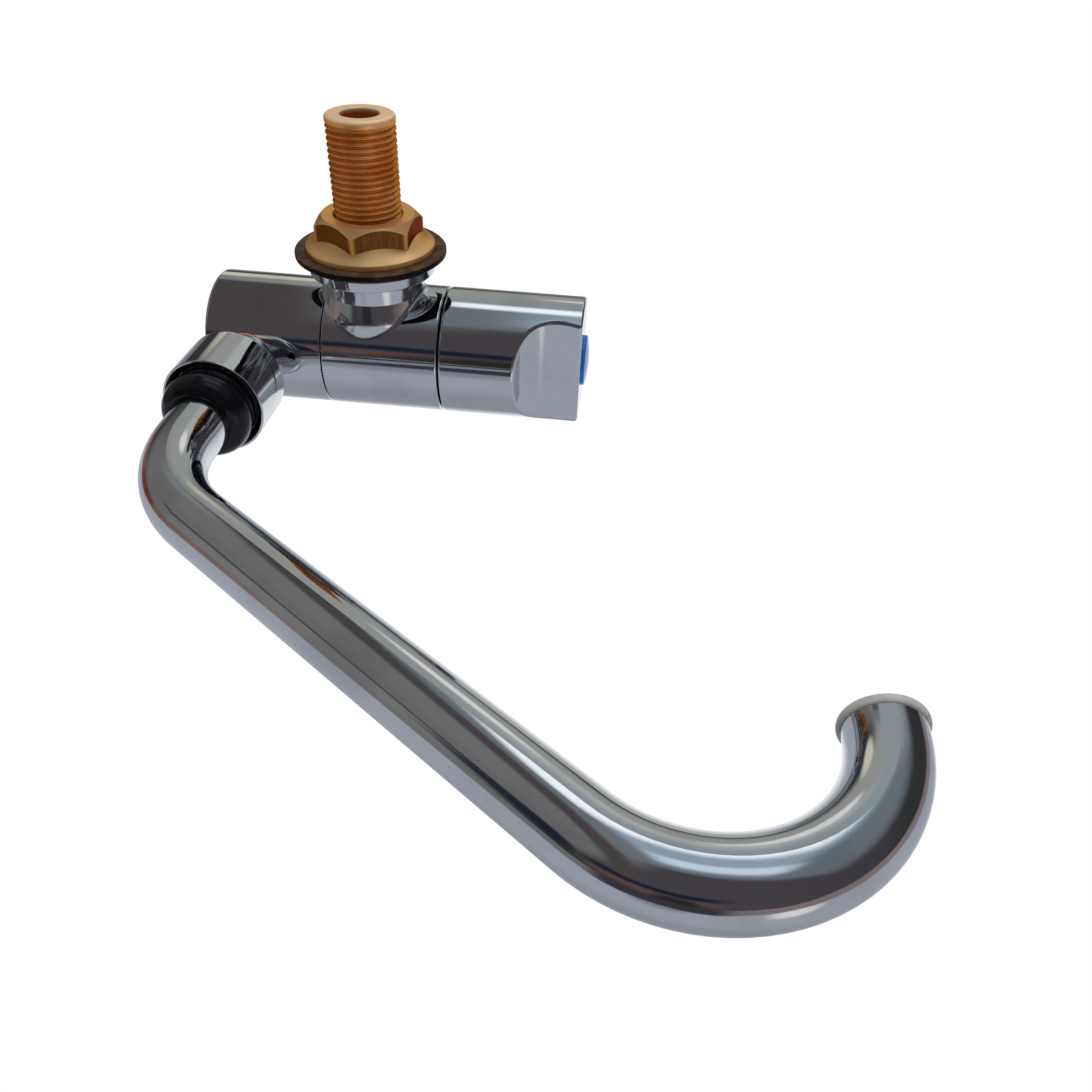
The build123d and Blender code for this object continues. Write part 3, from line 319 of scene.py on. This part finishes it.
BRASS_FACED_AND_LIT = (0.78, 0.57, 0.38, 1.0)
BRASS_BRIGHT = (0.84, 0.39, 0.12, 1.0)
BRASS_DULL = (0.70, 0.235, 0.046, 1.0)
BRASS_ROOT_SHADE = (0.48, 0.11, 0.014, 1.0)
BRASS_EDGE_TINT = (0.76, 0.40, 0.18, 1.0)
THREAD_TOOL_LINES = 9000.0
THREAD_MARK_DEPTH = 0.000005
END_FACE_START = 0.0016
END_FACE_FULL = 0.0004

threaded_brass, draw, place = open_finish("threaded_brass")
radius, height = about_axis(draw, place)
cloud = noise(draw, place, scale=110.0, detail=3.0)
tarnish = cloud.ease(0.36, 0.70)
worn = tarnish.blend(BRASS_BRIGHT, BRASS_DULL)
# Painted shade: the thread's roots are darker, as if shaded in the grooves.
shaded_root = radius.ease(SHANK_RADIUS - THREAD_DEPTH * 0.2, SHANK_RADIUS - THREAD_DEPTH)
# The turned end face is paler, partly for its finish and partly as painted light from below.
lit_end_face = height.ease(shank_end + END_FACE_START, shank_end + END_FACE_FULL)
cut_marks = lathe_marks(draw, radius, height, THREAD_TOOL_LINES)
close_finish(
    draw,
    Base_Color=lit_end_face.blend((shaded_root * 0.4).blend(worn, BRASS_ROOT_SHADE), BRASS_FACED_AND_LIT),
    Metallic=0.9 - lit_end_face * 0.2,
    Roughness=0.22 + tarnish * 0.08 + shaded_root * 0.10 + lit_end_face * 0.16,
    Specular_Tint=BRASS_EDGE_TINT,
    Normal=bumped(draw, THREAD_MARK_DEPTH, cut_marks + cloud * 0.4, strength=0.6),
)

thread_sizes = {
    "Wall Radius": SHANK_RADIUS,
    "Pitch": THREAD_PITCH,
    "Depth": THREAD_DEPTH,
    "Low End": shank_end + PLAIN_LEAD,
    "High End": THREAD_TOP,
    "Run-out": THREAD_RUN_OUT,
}
grown(threaded_shank, thread_tree(threaded_brass), thread_sizes)
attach(threaded_shank, "base")
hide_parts("inlet_shank")


# Deck gasket, O-rings and seat seal
# Moulded rubber. The gasket lies between the deck and the nut's flange, matt black with dust in
# patches; on the side that looks down, dust mixes with a painted brown sheen of reflected light.
# The seals lie in the tap's joints and shine more.
GASKET_BLACK = (0.0025, 0.0022, 0.0022, 1.0)
GASKET_DUST_AND_SHEEN = (0.058, 0.034, 0.020, 1.0)
GASKET_GRAIN_DEPTH = 0.000012
SEAL_BLACK = (0.006, 0.006, 0.006, 1.0)
SEAL_DUST_AND_SHEEN = (0.020, 0.020, 0.020, 1.0)
SEAL_GRAIN_DEPTH = 0.000006


def facing_down(draw):
    """1 where a surface looks along the piece's own -Z, 0 where it stands upright or looks up."""
    normal = draw.node("ShaderNodeTexCoord", output="Normal")
    upward = draw.node("ShaderNodeSeparateXYZ", {}, {0: normal}).other("Z")
    return upward.ease(-0.25, -0.85)


def rubber_finish(name, colour, dust_and_sheen_colour, grain_depth, roughness, gloss):
    """Black rubber with a fine grain, dust in patches, and dust with painted sheen on what looks
    down.
    """
    material, draw, place = open_finish(name)
    grain = noise(draw, place, scale=4200.0, detail=2.0)
    cloud = noise(draw, place, scale=240.0, detail=4.0)
    # Dust in patches, and on what looks down dust with a painted brown sheen of reflected light.
    dust_and_sheen = cloud.ease(0.45, 0.80) * 0.22 + facing_down(draw) * cloud.ease(0.05, 0.80) * 0.70
    close_finish(
        draw,
        Base_Color=dust_and_sheen.blend(colour, dust_and_sheen_colour),
        Roughness=roughness + dust_and_sheen * 0.12,
        Specular_IOR_Level=gloss,
        Normal=bumped(draw, grain_depth, grain + cloud * 0.5, strength=0.7),
    )
    return material


gasket_rubber = rubber_finish(
    "gasket_rubber", GASKET_BLACK, GASKET_DUST_AND_SHEEN, GASKET_GRAIN_DEPTH, roughness=0.46, gloss=0.07
)
seal_rubber = rubber_finish(
    "seal_rubber", SEAL_BLACK, SEAL_DUST_AND_SHEEN, SEAL_GRAIN_DEPTH, roughness=0.40, gloss=0.22
)
cover(gasket_rubber, "deck_gasket")
cover(seal_rubber, "base_o_ring", "cartridge_face_o_ring", "cartridge_seat_seal", "stem_o_ring")
cover(seal_rubber, "spindle_o_rings", "end_cap_o_ring", "ferrule_o_rings")


# Mounting nut
# A hexagon nut with a wide round flange, turned from brass bar, which clamps the gasket. Its flats
# keep fine milling streaks, its turned faces fine rings, and its edges are rubbed bright. Faces that
# look down are painted pale as lit from below, the flats dark as shaded, and the flange's outer rim
# and the flange beside the flats in darker painted shade.
NUT_FACED_AND_LIT = (0.93, 0.58, 0.27, 1.0)
NUT_SHADED_FLAT_LIGHT = (0.20, 0.080, 0.024, 1.0)
NUT_SHADED_FLAT_DARK = (0.12, 0.042, 0.010, 1.0)
NUT_WEAR_AND_SHADE = (0.62, 0.30, 0.10, 1.0)
NUT_EDGE_TINT = (0.62, 0.33, 0.13, 1.0)
NUT_TOOL_LINES = 7000.0
NUT_MARK_DEPTH = 0.000014
STREAK_SCALE = (3800.0, 3800.0, 90.0)
RIM_START = 0.0201
RIM_FULL = 0.0204
CORNER_START = 0.0166
CORNER_FULL = 0.0171
CORNER_FADE = 0.0174
CORNER_GONE = 0.0178
BESIDE_FLATS_START = 0.0194
BESIDE_FLATS_FULL = 0.0172
FLANGE_FACE_START = -0.0085
FLANGE_FACE_FULL = -0.0075

milled_brass, draw, place = open_finish("milled_brass")
radius, height = about_axis(draw, place)
cloud = noise(draw, place, scale=90.0, detail=4.0)
tarnish = cloud.ease(0.36, 0.72)
rings = lathe_marks(draw, radius, height, NUT_TOOL_LINES)
drawn_bar = draw.node("ShaderNodeMapping", {}, {"Vector": place, "Scale": STREAK_SCALE})
streaks = noise(draw, drawn_bar, scale=1.0, detail=2.0)
# Painted shade on the flange's upright outer rim and on the flange next to the flats; the same
# colour marks the rubbed corners. Faces that look down take the pale colour painted as lit.
shaded_outer_rim = radius.ease(RIM_START, RIM_FULL) * (1.0 - facing_down(draw))
turned_and_lit_face = draw.sums("MAXIMUM", facing_down(draw), shaded_outer_rim)
shade_beside_flats = radius.ease(BESIDE_FLATS_START, BESIDE_FLATS_FULL)
shade_beside_flats = shade_beside_flats * height.ease(FLANGE_FACE_START, FLANGE_FACE_FULL)
corner = radius.ease(CORNER_START, CORNER_FULL) * radius.ease(CORNER_GONE, CORNER_FADE)
# The flats are painted dark as shaded brass; the streaks in them are the milling, and their corners
# are rubbed bright.
shaded_flat = streaks.ease(0.28, 0.74).blend(NUT_SHADED_FLAT_DARK, NUT_SHADED_FLAT_LIGHT)
shaded_flat = (corner * 0.8).blend(shaded_flat, NUT_WEAR_AND_SHADE)
face = (tarnish * 0.35).blend(NUT_FACED_AND_LIT, BRASS_BRIGHT)
face = draw.sums("MAXIMUM", shade_beside_flats * 0.5, shaded_outer_rim * 0.8).blend(face, NUT_WEAR_AND_SHADE)
relief = turned_and_lit_face * rings + streaks * 0.5 + cloud * 0.12
close_finish(
    draw,
    Base_Color=turned_and_lit_face.blend(shaded_flat, face),
    Metallic=0.92,
    Roughness=0.34 + tarnish * 0.08 - streaks * 0.08 + turned_and_lit_face * 0.04,
    Specular_Tint=NUT_EDGE_TINT,
    Normal=bumped(draw, NUT_MARK_DEPTH, relief, strength=0.6),
)
cover(milled_brass, "mounting_nut")


# Cartridge
# A quarter-turn valve screwed into the body: a brass barrel, a stem kept in by a steel spring
# clip, and two lapped alumina discs, off-white and almost polished, of which the stem turns one.
CERAMIC_PALE = (0.80, 0.79, 0.74, 1.0)
CERAMIC_GREY = (0.70, 0.69, 0.64, 1.0)
STEEL_BRIGHT = (0.52, 0.51, 0.49, 1.0)
STEEL_DULL = (0.40, 0.39, 0.38, 1.0)


def mottled_finish(name, one, other, scale, roughness, unevenness, metal=0.0):
    """A plain material whose colour and gloss vary softly; scale is clouds to a metre."""
    finish, draw, place = open_finish(name)
    cloud = noise(draw, place, scale, detail=3.0)
    close_finish(
        draw,
        Base_Color=cloud.blend(one, other),
        Metallic=metal,
        Roughness=roughness + cloud * unevenness,
    )
    return finish


ceramic = mottled_finish(
    "lapped_ceramic", CERAMIC_PALE, CERAMIC_GREY, scale=900.0, roughness=0.12, unevenness=0.1
)
bright_steel = mottled_finish(
    "bright_steel", STEEL_BRIGHT, STEEL_DULL, scale=1500.0, roughness=0.25, unevenness=0.2, metal=1.0
)
cover(milled_brass, "cartridge_body", "cartridge_stem")
cover(ceramic, "ceramic_disc_lower", "ceramic_disc_upper")
cover(bright_steel, "stem_clip")


# Knob
# A turned brass knob with two scalloped thumb flats, chromed like the body. A steel screw under
# the cap pulls it onto the stem.
cover(mirror_chrome, "knob")
cover(bright_steel, "knob_screw")


# Knob cap
# A glossy blue moulding with a low dome and a few scuffs, pushed into the end of the knob.
CAP_DEEP_BLUE = (0.000, 0.072, 0.270, 1.0)
CAP_LIGHT_BLUE = (0.001, 0.086, 0.315, 1.0)
CAP_WAVE_DEPTH = 0.000004

cap_blue, draw, place = open_finish("cap_blue")
cloud = noise(draw, place, scale=220.0, detail=2.0)
scuffs = hairlines(draw, place, turn=(0.0, 1.2, 0.4), scale=(220.0, 5200.0, 5200.0), width=0.014)
close_finish(
    draw,
    Base_Color=cloud.ease(0.3, 0.8).blend(CAP_DEEP_BLUE, CAP_LIGHT_BLUE),
    Roughness=0.14 + cloud * 0.06 + scuffs * 0.15,
    Normal=bumped(draw, CAP_WAVE_DEPTH, cloud, strength=0.3),
)
cover(cap_blue, "knob_cap")


# Folding joint
# The head turns on a hollow brass bolt in the body, held by a thin nut. Slippery acetal rings run
# between the turning faces, and a steel dowel in the body ends the fold.
ACETAL_PALE = (0.70, 0.70, 0.67, 1.0)
ACETAL_GREY = (0.60, 0.60, 0.57, 1.0)

acetal = mottled_finish(
    "acetal", ACETAL_PALE, ACETAL_GREY, scale=700.0, roughness=0.32, unevenness=0.15
)
cover(milled_brass, "head_spindle", "retaining_nut")
cover(acetal, "thrust_washer", "head_bearing_ring")
cover(bright_steel, "fold_stop_pin")


# Spout head and cup
# Turned brass, chromed like the body. A plug closes the head's free end, and the cup that the
# pipe turns in is screwed into its side over a red-brown fibre washer.
FIBRE_RED = (0.22, 0.055, 0.030, 1.0)
FIBRE_LIGHT = (0.34, 0.11, 0.060, 1.0)

fibre, draw, place = open_finish("vulcanised_fibre")
strands = noise(draw, place, scale=2600.0, detail=5.0)
close_finish(draw, Base_Color=strands.blend(FIBRE_RED, FIBRE_LIGHT), Roughness=0.7)
cover(mirror_chrome, "spout_head", "head_end_cap", "spout_socket")
cover(fibre, "socket_washer")


# Spout pipe
# Chromed brass tube bent in one plane, with the casting's mirror. A brass ferrule on its end turns
# in the cup against an acetal ring.
cover(mirror_chrome, "spout_pipe")
cover(milled_brass, "pipe_ferrule")
cover(acetal, "spout_thrust_ring")


# Gland ring and spout bead
# The ring that traps the pipe in the cup is glossy black plastic. The bead in front of it is one
# moulding of polished black rubber on the pipe: a small ring in the cup's mouth and a fat one.
BEAD_BORE_RADIUS = 0.00887
BACK_RING_RADIUS = 0.0128
BACK_RING_ROUND = 0.0019
BACK_RING_HALF = 0.00145
FRONT_RING_RADIUS = 0.0134
FRONT_RING_MIDDLE = 0.0066
FRONT_RING_FOOT = 0.0093
BEAD_SIDES = 128
BEAD_STEPS = 24

bead_low, bead_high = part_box("spout_bead")
bead_length = bead_high.y - bead_low.y
bead_outline = [(BEAD_BORE_RADIUS, bead_length), (BEAD_BORE_RADIUS, 0.0)]

# The small ring in the cup's mouth: a low arc from its back to the groove.
swing = math.asin(BACK_RING_HALF / BACK_RING_ROUND)
for step in range(BEAD_STEPS):
    turn = swing * (2.0 * step / BEAD_STEPS - 1.0)
    radius = BACK_RING_RADIUS - BACK_RING_ROUND * (1.0 - math.cos(turn))
    bead_outline.append((radius, BACK_RING_HALF + BACK_RING_ROUND * math.sin(turn)))

# The fat ring: from the groove over its widest place and round to its foot on the pipe.
reach = bead_length - FRONT_RING_MIDDLE
start = math.asin((FRONT_RING_MIDDLE - 2.0 * BACK_RING_HALF) / reach)
for step in range(BEAD_STEPS + 1):
    turn = (math.pi / 2 + start) * step / BEAD_STEPS - start
    radius = FRONT_RING_FOOT + (FRONT_RING_RADIUS - FRONT_RING_FOOT) * math.cos(turn)
    bead_outline.append((radius, FRONT_RING_MIDDLE + reach * math.sin(turn)))

rubber_bead = turned("rubber_bead", bead_outline, BEAD_SIDES)
bead_middle = (bead_low + bead_high) / 2
bead_seat = Matrix.Translation((bead_middle.x, bead_high.y, bead_middle.z))
towards_outlet = Matrix.Rotation(math.radians(90.0), 4, "X")
rubber_bead.data.transform(bead_seat @ towards_outlet)

GLAND_BLACK = (0.010, 0.010, 0.012, 1.0)
GLAND_WORN = (0.022, 0.022, 0.025, 1.0)
BEAD_BLACK = (0.0016, 0.0016, 0.0024, 1.0)
BEAD_LINT = (0.012, 0.012, 0.012, 1.0)
BEAD_WAVE_DEPTH = 0.000006

gland_black = mottled_finish(
    "gland_black", GLAND_BLACK, GLAND_WORN, scale=400.0, roughness=0.18, unevenness=0.14
)
cover(gland_black, "gland_ring")

bead_black, draw, place = open_finish("bead_black")
cloud = noise(draw, place, scale=220.0, detail=4.0)
lint = speckle(draw, place, scale=900.0, share=0.04, spread=0.10)
close_finish(
    draw,
    Base_Color=lint.blend(BEAD_BLACK, BEAD_LINT),
    Roughness=0.10 + cloud * 0.08 + lint * 0.3,
    Specular_IOR_Level=0.26,
    Normal=bumped(draw, BEAD_WAVE_DEPTH, cloud, strength=0.4),
)
rubber_bead.data.materials.append(bead_black)
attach(rubber_bead, "spout")
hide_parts("spout_bead")


# Outlet insert
# The nozzle pushed into the hook's end, moulded with its vanes in slightly mottled grey plastic.
OUTLET_PALE = (0.225, 0.218, 0.212, 1.0)
OUTLET_DARK = (0.185, 0.179, 0.174, 1.0)

outlet_grey, draw, place = open_finish("outlet_grey")
cloud = noise(draw, place, scale=350.0, detail=4.0)
close_finish(
    draw,
    Base_Color=cloud.ease(0.3, 0.75).blend(OUTLET_PALE, OUTLET_DARK),
    Roughness=0.30 + cloud * 0.15,
)
cover(outlet_grey, "outlet_insert")


# Floor
# A pale floor at the end of the shank. It keeps the tap's shadow near it and fades to white
# further out. It is open to a camera under it, since the photograph looks up at the tap.
FLOOR_HALF = 4.0
FLOOR_GAP = 0.0004
FLOOR_PALE = (0.82, 0.82, 0.82, 1.0)
FLOOR_FAR = (1.0, 1.0, 1.0, 1.0)
LIT_REACH = 0.35
FADE_END = 1.5

floor_mesh = bmesh.new()
floor_z = cad_box[0][2] - FLOOR_GAP
floor_corners = []
for x, y in [(-1, -1), (1, -1), (1, 1), (-1, 1)]:
    floor_corners.append(floor_mesh.verts.new((x * FLOOR_HALF, y * FLOOR_HALF, floor_z)))
floor_mesh.faces.new(floor_corners)
floor_data = bpy.data.meshes.new("studio_floor")
floor_mesh.to_mesh(floor_data)
floor_mesh.free()
floor = bpy.data.objects.new("studio_floor", floor_data)
bpy.context.scene.collection.objects.link(floor)

paper, draw, place = open_finish("floor_paper")
from_below = draw.node("ShaderNodeNewGeometry", output="Backfacing")
away = draw.node("ShaderNodeVectorMath", {"operation": "LENGTH"}, {0: place}, "Value")
seen = draw.node("ShaderNodeLightPath", output="Is Camera Ray")
lit = draw.node("ShaderNodeBsdfDiffuse", {}, {"Color": FLOOR_PALE})
glow = draw.node("ShaderNodeEmission", {}, {"Color": FLOOR_FAR})
fade = away.ease(LIT_REACH, FADE_END) * seen
top = draw.node("ShaderNodeMixShader", {}, {0: fade, 1: lit, 2: glow})
clear = draw.node("ShaderNodeBsdfTransparent")
sheet = draw.node("ShaderNodeMixShader", {}, {0: from_below, 1: top, 2: clear})
draw.node("ShaderNodeOutputMaterial", {}, {"Surface": sheet})
floor_data.materials.append(paper)
floor.visible_shadow = False
floor.visible_glossy = False


# Lamps
# Two large soft lamps above the tap and one under the floor, which lets light through. They light
# the tap without showing in its mirror.
WARM_WHITE = (1.0, 0.99, 0.97)
COOL_WHITE = (0.97, 0.98, 1.0)
LAMP_AIM = (-0.05, -0.09, 0.0)


def soft_lamp(name, place, size, power, colour):
    """A square area lamp that looks at the tap; size in metres, power in watts."""
    data = bpy.data.lights.new(name, "AREA")
    data.shape = "SQUARE"
    data.size = size
    data.energy = power
    data.color = colour
    lamp = bpy.data.objects.new(name, data)
    lamp.location = place
    lamp.rotation_euler = (Vector(LAMP_AIM) - Vector(place)).to_track_quat("-Z", "Y").to_euler()
    lamp.visible_glossy = False
    bpy.context.scene.collection.objects.link(lamp)


soft_lamp("key_lamp", (-0.5, -0.7, 0.9), size=0.7, power=11.0, colour=WARM_WHITE)
soft_lamp("fill_lamp", (0.8, 0.4, 0.7), size=0.9, power=6.0, colour=COOL_WHITE)
soft_lamp("under_lamp", (-0.15, -0.1, -0.9), size=0.7, power=14.0, colour=WARM_WHITE)


# Room in the mirror
# The looks of chrome are what it mirrors, so glossy rays see a room drawn in broad soft shapes by
# direction. The camera sees white, and all other rays an even grey.
SWAY = 2.0  # degrees that level edges wander by

world = bpy.data.worlds.new("studio")
bpy.context.scene.world = world
world.use_nodes = True
world.node_tree.nodes.clear()
draw = Wire(world.node_tree)
ray = draw.node("ShaderNodeTexCoord", output="Generated")
east, north, height = axes(draw, ray)
uneven = noise(draw, ray, scale=3.0, detail=3.0)
tilt = draw.sums("ARCSINE", height) * (180 / math.pi) + uneven * SWAY - SWAY / 2


def toward(azimuth, elevation, inner, outer):
    """1 for rays within inner degrees of a direction, 0 beyond outer; azimuth is from +Y to +X."""
    turn, rise = math.radians(azimuth), math.radians(elevation)
    aim = (math.sin(turn) * math.cos(rise), math.cos(turn) * math.cos(rise), math.sin(rise))
    near = draw.node("ShaderNodeVectorMath", {"operation": "DOT_PRODUCT"}, {0: ray, 1: aim}, "Value")
    return near.ease(math.cos(math.radians(outer)), math.cos(math.radians(inner)))


def between(wire, low, high, soft):
    """1 while a wire is between two values, with soft edges."""
    return wire.ease(low - soft, low + soft) * wire.ease(high + soft, high - soft)


def grey(level, warmth=0.0):
    """A grey, a little warm or, with a negative warmth, a little cool."""
    return (level * (1 + warmth), level, level * (1 - warmth), 1.0)


# Above the horizon: a pale wall under a dimmer ceiling, a tall window, a small one and a recess.
WALL = (0.46, 0.49, 0.55, 1.0)
CEILING = (0.36, 0.385, 0.44, 1.0)
RECESS = (0.30, 0.335, 0.40, 1.0)

shades = tilt.ease(40, 75).blend(WALL, CEILING)
shades = toward(-16, 42, 6, 36).blend(shades, grey(0.98, -0.02))
shades = toward(-139, 17, 4, 13).blend(shades, grey(0.95, 0.02))
shades = toward(168, 10, 8, 17).blend(shades, RECESS)

# Below it, mostly on the camera's side: dark furniture with a navy and a rust edge.
SLATE = (0.085, 0.075, 0.085, 1.0)
NAVY = (0.013, 0.021, 0.042, 1.0)
RUST = (0.165, 0.085, 0.066, 1.0)
INK = (0.02, 0.02, 0.028, 1.0)
NIGHT = (0.02, 0.025, 0.04, 1.0)

dark = toward(-160, -25, 30, 80).blend(grey(0.045, -0.05), SLATE)
dark = (between(tilt, -23, -15, 2) * toward(165, -17, 18, 34)).blend(dark, NAVY)
dark = (between(tilt, -12, -5, 2) * toward(165, -10, 18, 36)).blend(dark, RUST)
dark = toward(175, -3, 5, 13).blend(dark, grey(0.03))
dark = toward(-30, -8, 10, 24).blend(dark, INK)

# Below it, at +X and behind the tap: a grey bench with a shadow line, and a pale table.
TABLE = (0.41, 0.42, 0.385, 1.0)
TABLE_LIT = (0.57, 0.59, 0.57, 1.0)

dark = toward(85, -42, 36, 52).blend(dark, grey(0.20, 0.01))
dark = toward(105, -8, 8, 18).blend(dark, grey(0.25))
dark = (between(tilt, -21.5, -18, 1.2) * toward(105, -20, 16, 28)).blend(dark, grey(0.07))
dark = toward(122, -14, 4, 12).blend(dark, NIGHT)
dark = toward(-3, -32, 18, 33).blend(dark, TABLE)
dark = toward(-14, -37, 4, 14).blend(dark, TABLE_LIT)
dark = toward(-2, -28, 3, 8).blend(dark, grey(0.95))

# Under the tap: two strip lights with a dimmer gap between them, and a shaded side.
UNDER_WEST = (0.20, 0.235, 0.26, 1.0)
UNDER_EAST = (0.225, 0.222, 0.222, 1.0)
UNDER_NORTH = (0.37, 0.42, 0.44, 1.0)
GAP_BLUE = (0.38, 0.50, 0.60, 1.0)
NEAR_STRIP = (0.78, 0.95, 1.08, 1.0)
FAR_STRIP = (1.34, 1.42, 1.45, 1.0)
SHADED_SIDE = (0.092, 0.079, 0.079, 1.0)
WARM_GLINT = (0.80, 0.74, 0.62, 1.0)

under = east.ease(0.40, 0.55).blend(UNDER_WEST, UNDER_EAST)
under = north.ease(0.52, 0.64).blend(under, UNDER_NORTH)
gap = between(north, -0.22, 0.56, 0.07) * between(east, -0.40, 0.10, 0.06)
under = gap.blend(under, GAP_BLUE)
near_strip = between(north, -0.16, 0.07, 0.06) * between(east, -0.42, 0.06, 0.07)
under = near_strip.blend(under, NEAR_STRIP)
far_strip = between(north, 0.36, 0.54, 0.06) * between(east, -0.36, 0.20, 0.04)
under = far_strip.blend(under, FAR_STRIP)
steep = height.ease(-0.45, -0.70)
dark = (steep * between(north, -0.34, 0.76, 0.06)).blend(dark, under)
shade_side = between(east, 0.30, 0.48, 0.045) * north.ease(0.74, 0.62) * height.ease(-0.30, -0.50)
dark = shade_side.blend(dark, SHADED_SIDE)
dark = toward(24, -18, 4, 10).blend(dark, WARM_GLINT)

# At the horizon: a sill from rose to rust, grey before and behind the tap, red at +X.
SILL_ROSE = (0.30, 0.235, 0.235, 1.0)
SILL_RUST = (0.24, 0.13, 0.11, 1.0)
SILL_DARK = (0.055, 0.048, 0.060, 1.0)
RED_PATCH = (0.20, 0.052, 0.036, 1.0)

sill = toward(70, 0, 16, 36).blend(SILL_ROSE, SILL_RUST)
sill = (toward(0, 5, 30, 50) + toward(155, 5, 30, 60)).blend(sill, grey(0.21))
sill = toward(-12, 6, 6, 14).blend(sill, grey(0.55))
sill = toward(70, 5, 6, 13).blend(sill, RED_PATCH)
sill = toward(168, 4, 20, 32).blend(sill, SILL_DARK)
below_sill = tilt.ease(0.5, -2.0)
above_sill = (tilt - toward(168, 12, 20, 34) * 3.5).ease(9, 13)
mirrored = above_sill.blend(below_sill.blend(sill, dark), shades)
mirrored = toward(67, 6, 3, 9).blend(mirrored, RED_PATCH)

# What each kind of ray sees.
EVEN_GREY = (0.40, 0.405, 0.41, 1.0)
WHITE = (1.0, 1.0, 1.0, 1.0)

glossy_ray = draw.node("ShaderNodeLightPath", output="Is Glossy Ray")
camera_ray = glossy_ray.other("Is Camera Ray")
sky = camera_ray.blend(glossy_ray.blend(EVEN_GREY, mirrored), WHITE)
room = draw.node("ShaderNodeBackground", {}, {"Color": sky, "Strength": 1.0})
draw.node("ShaderNodeOutputWorld", {}, {"Surface": room})


# Camera
# Where the photograph was taken from: below the deck plane, looking up. It is turned over, so
# that the shank points up in the picture.
CAMERA_LENS = 30.218
CAMERA_SENSOR = 36.0
CAMERA_PLACE = (-0.083087, -0.280839, -0.116441)
CAMERA_TURN = (-129.2313, 1.9560, 173.7842)
CLIP_NEAR = 0.01
CLIP_FAR = 20.0

camera_data = bpy.data.cameras.new("photo_camera")
camera_data.lens = CAMERA_LENS
camera_data.sensor_width = CAMERA_SENSOR
camera_data.clip_start = CLIP_NEAR
camera_data.clip_end = CLIP_FAR
camera = bpy.data.objects.new("photo_camera", camera_data)
camera.location = CAMERA_PLACE
camera.rotation_euler = Euler([math.radians(turn) for turn in CAMERA_TURN])
bpy.context.scene.collection.objects.link(camera)
bpy.context.scene.camera = camera
bpy.context.scene.view_settings.view_transform = "Standard"
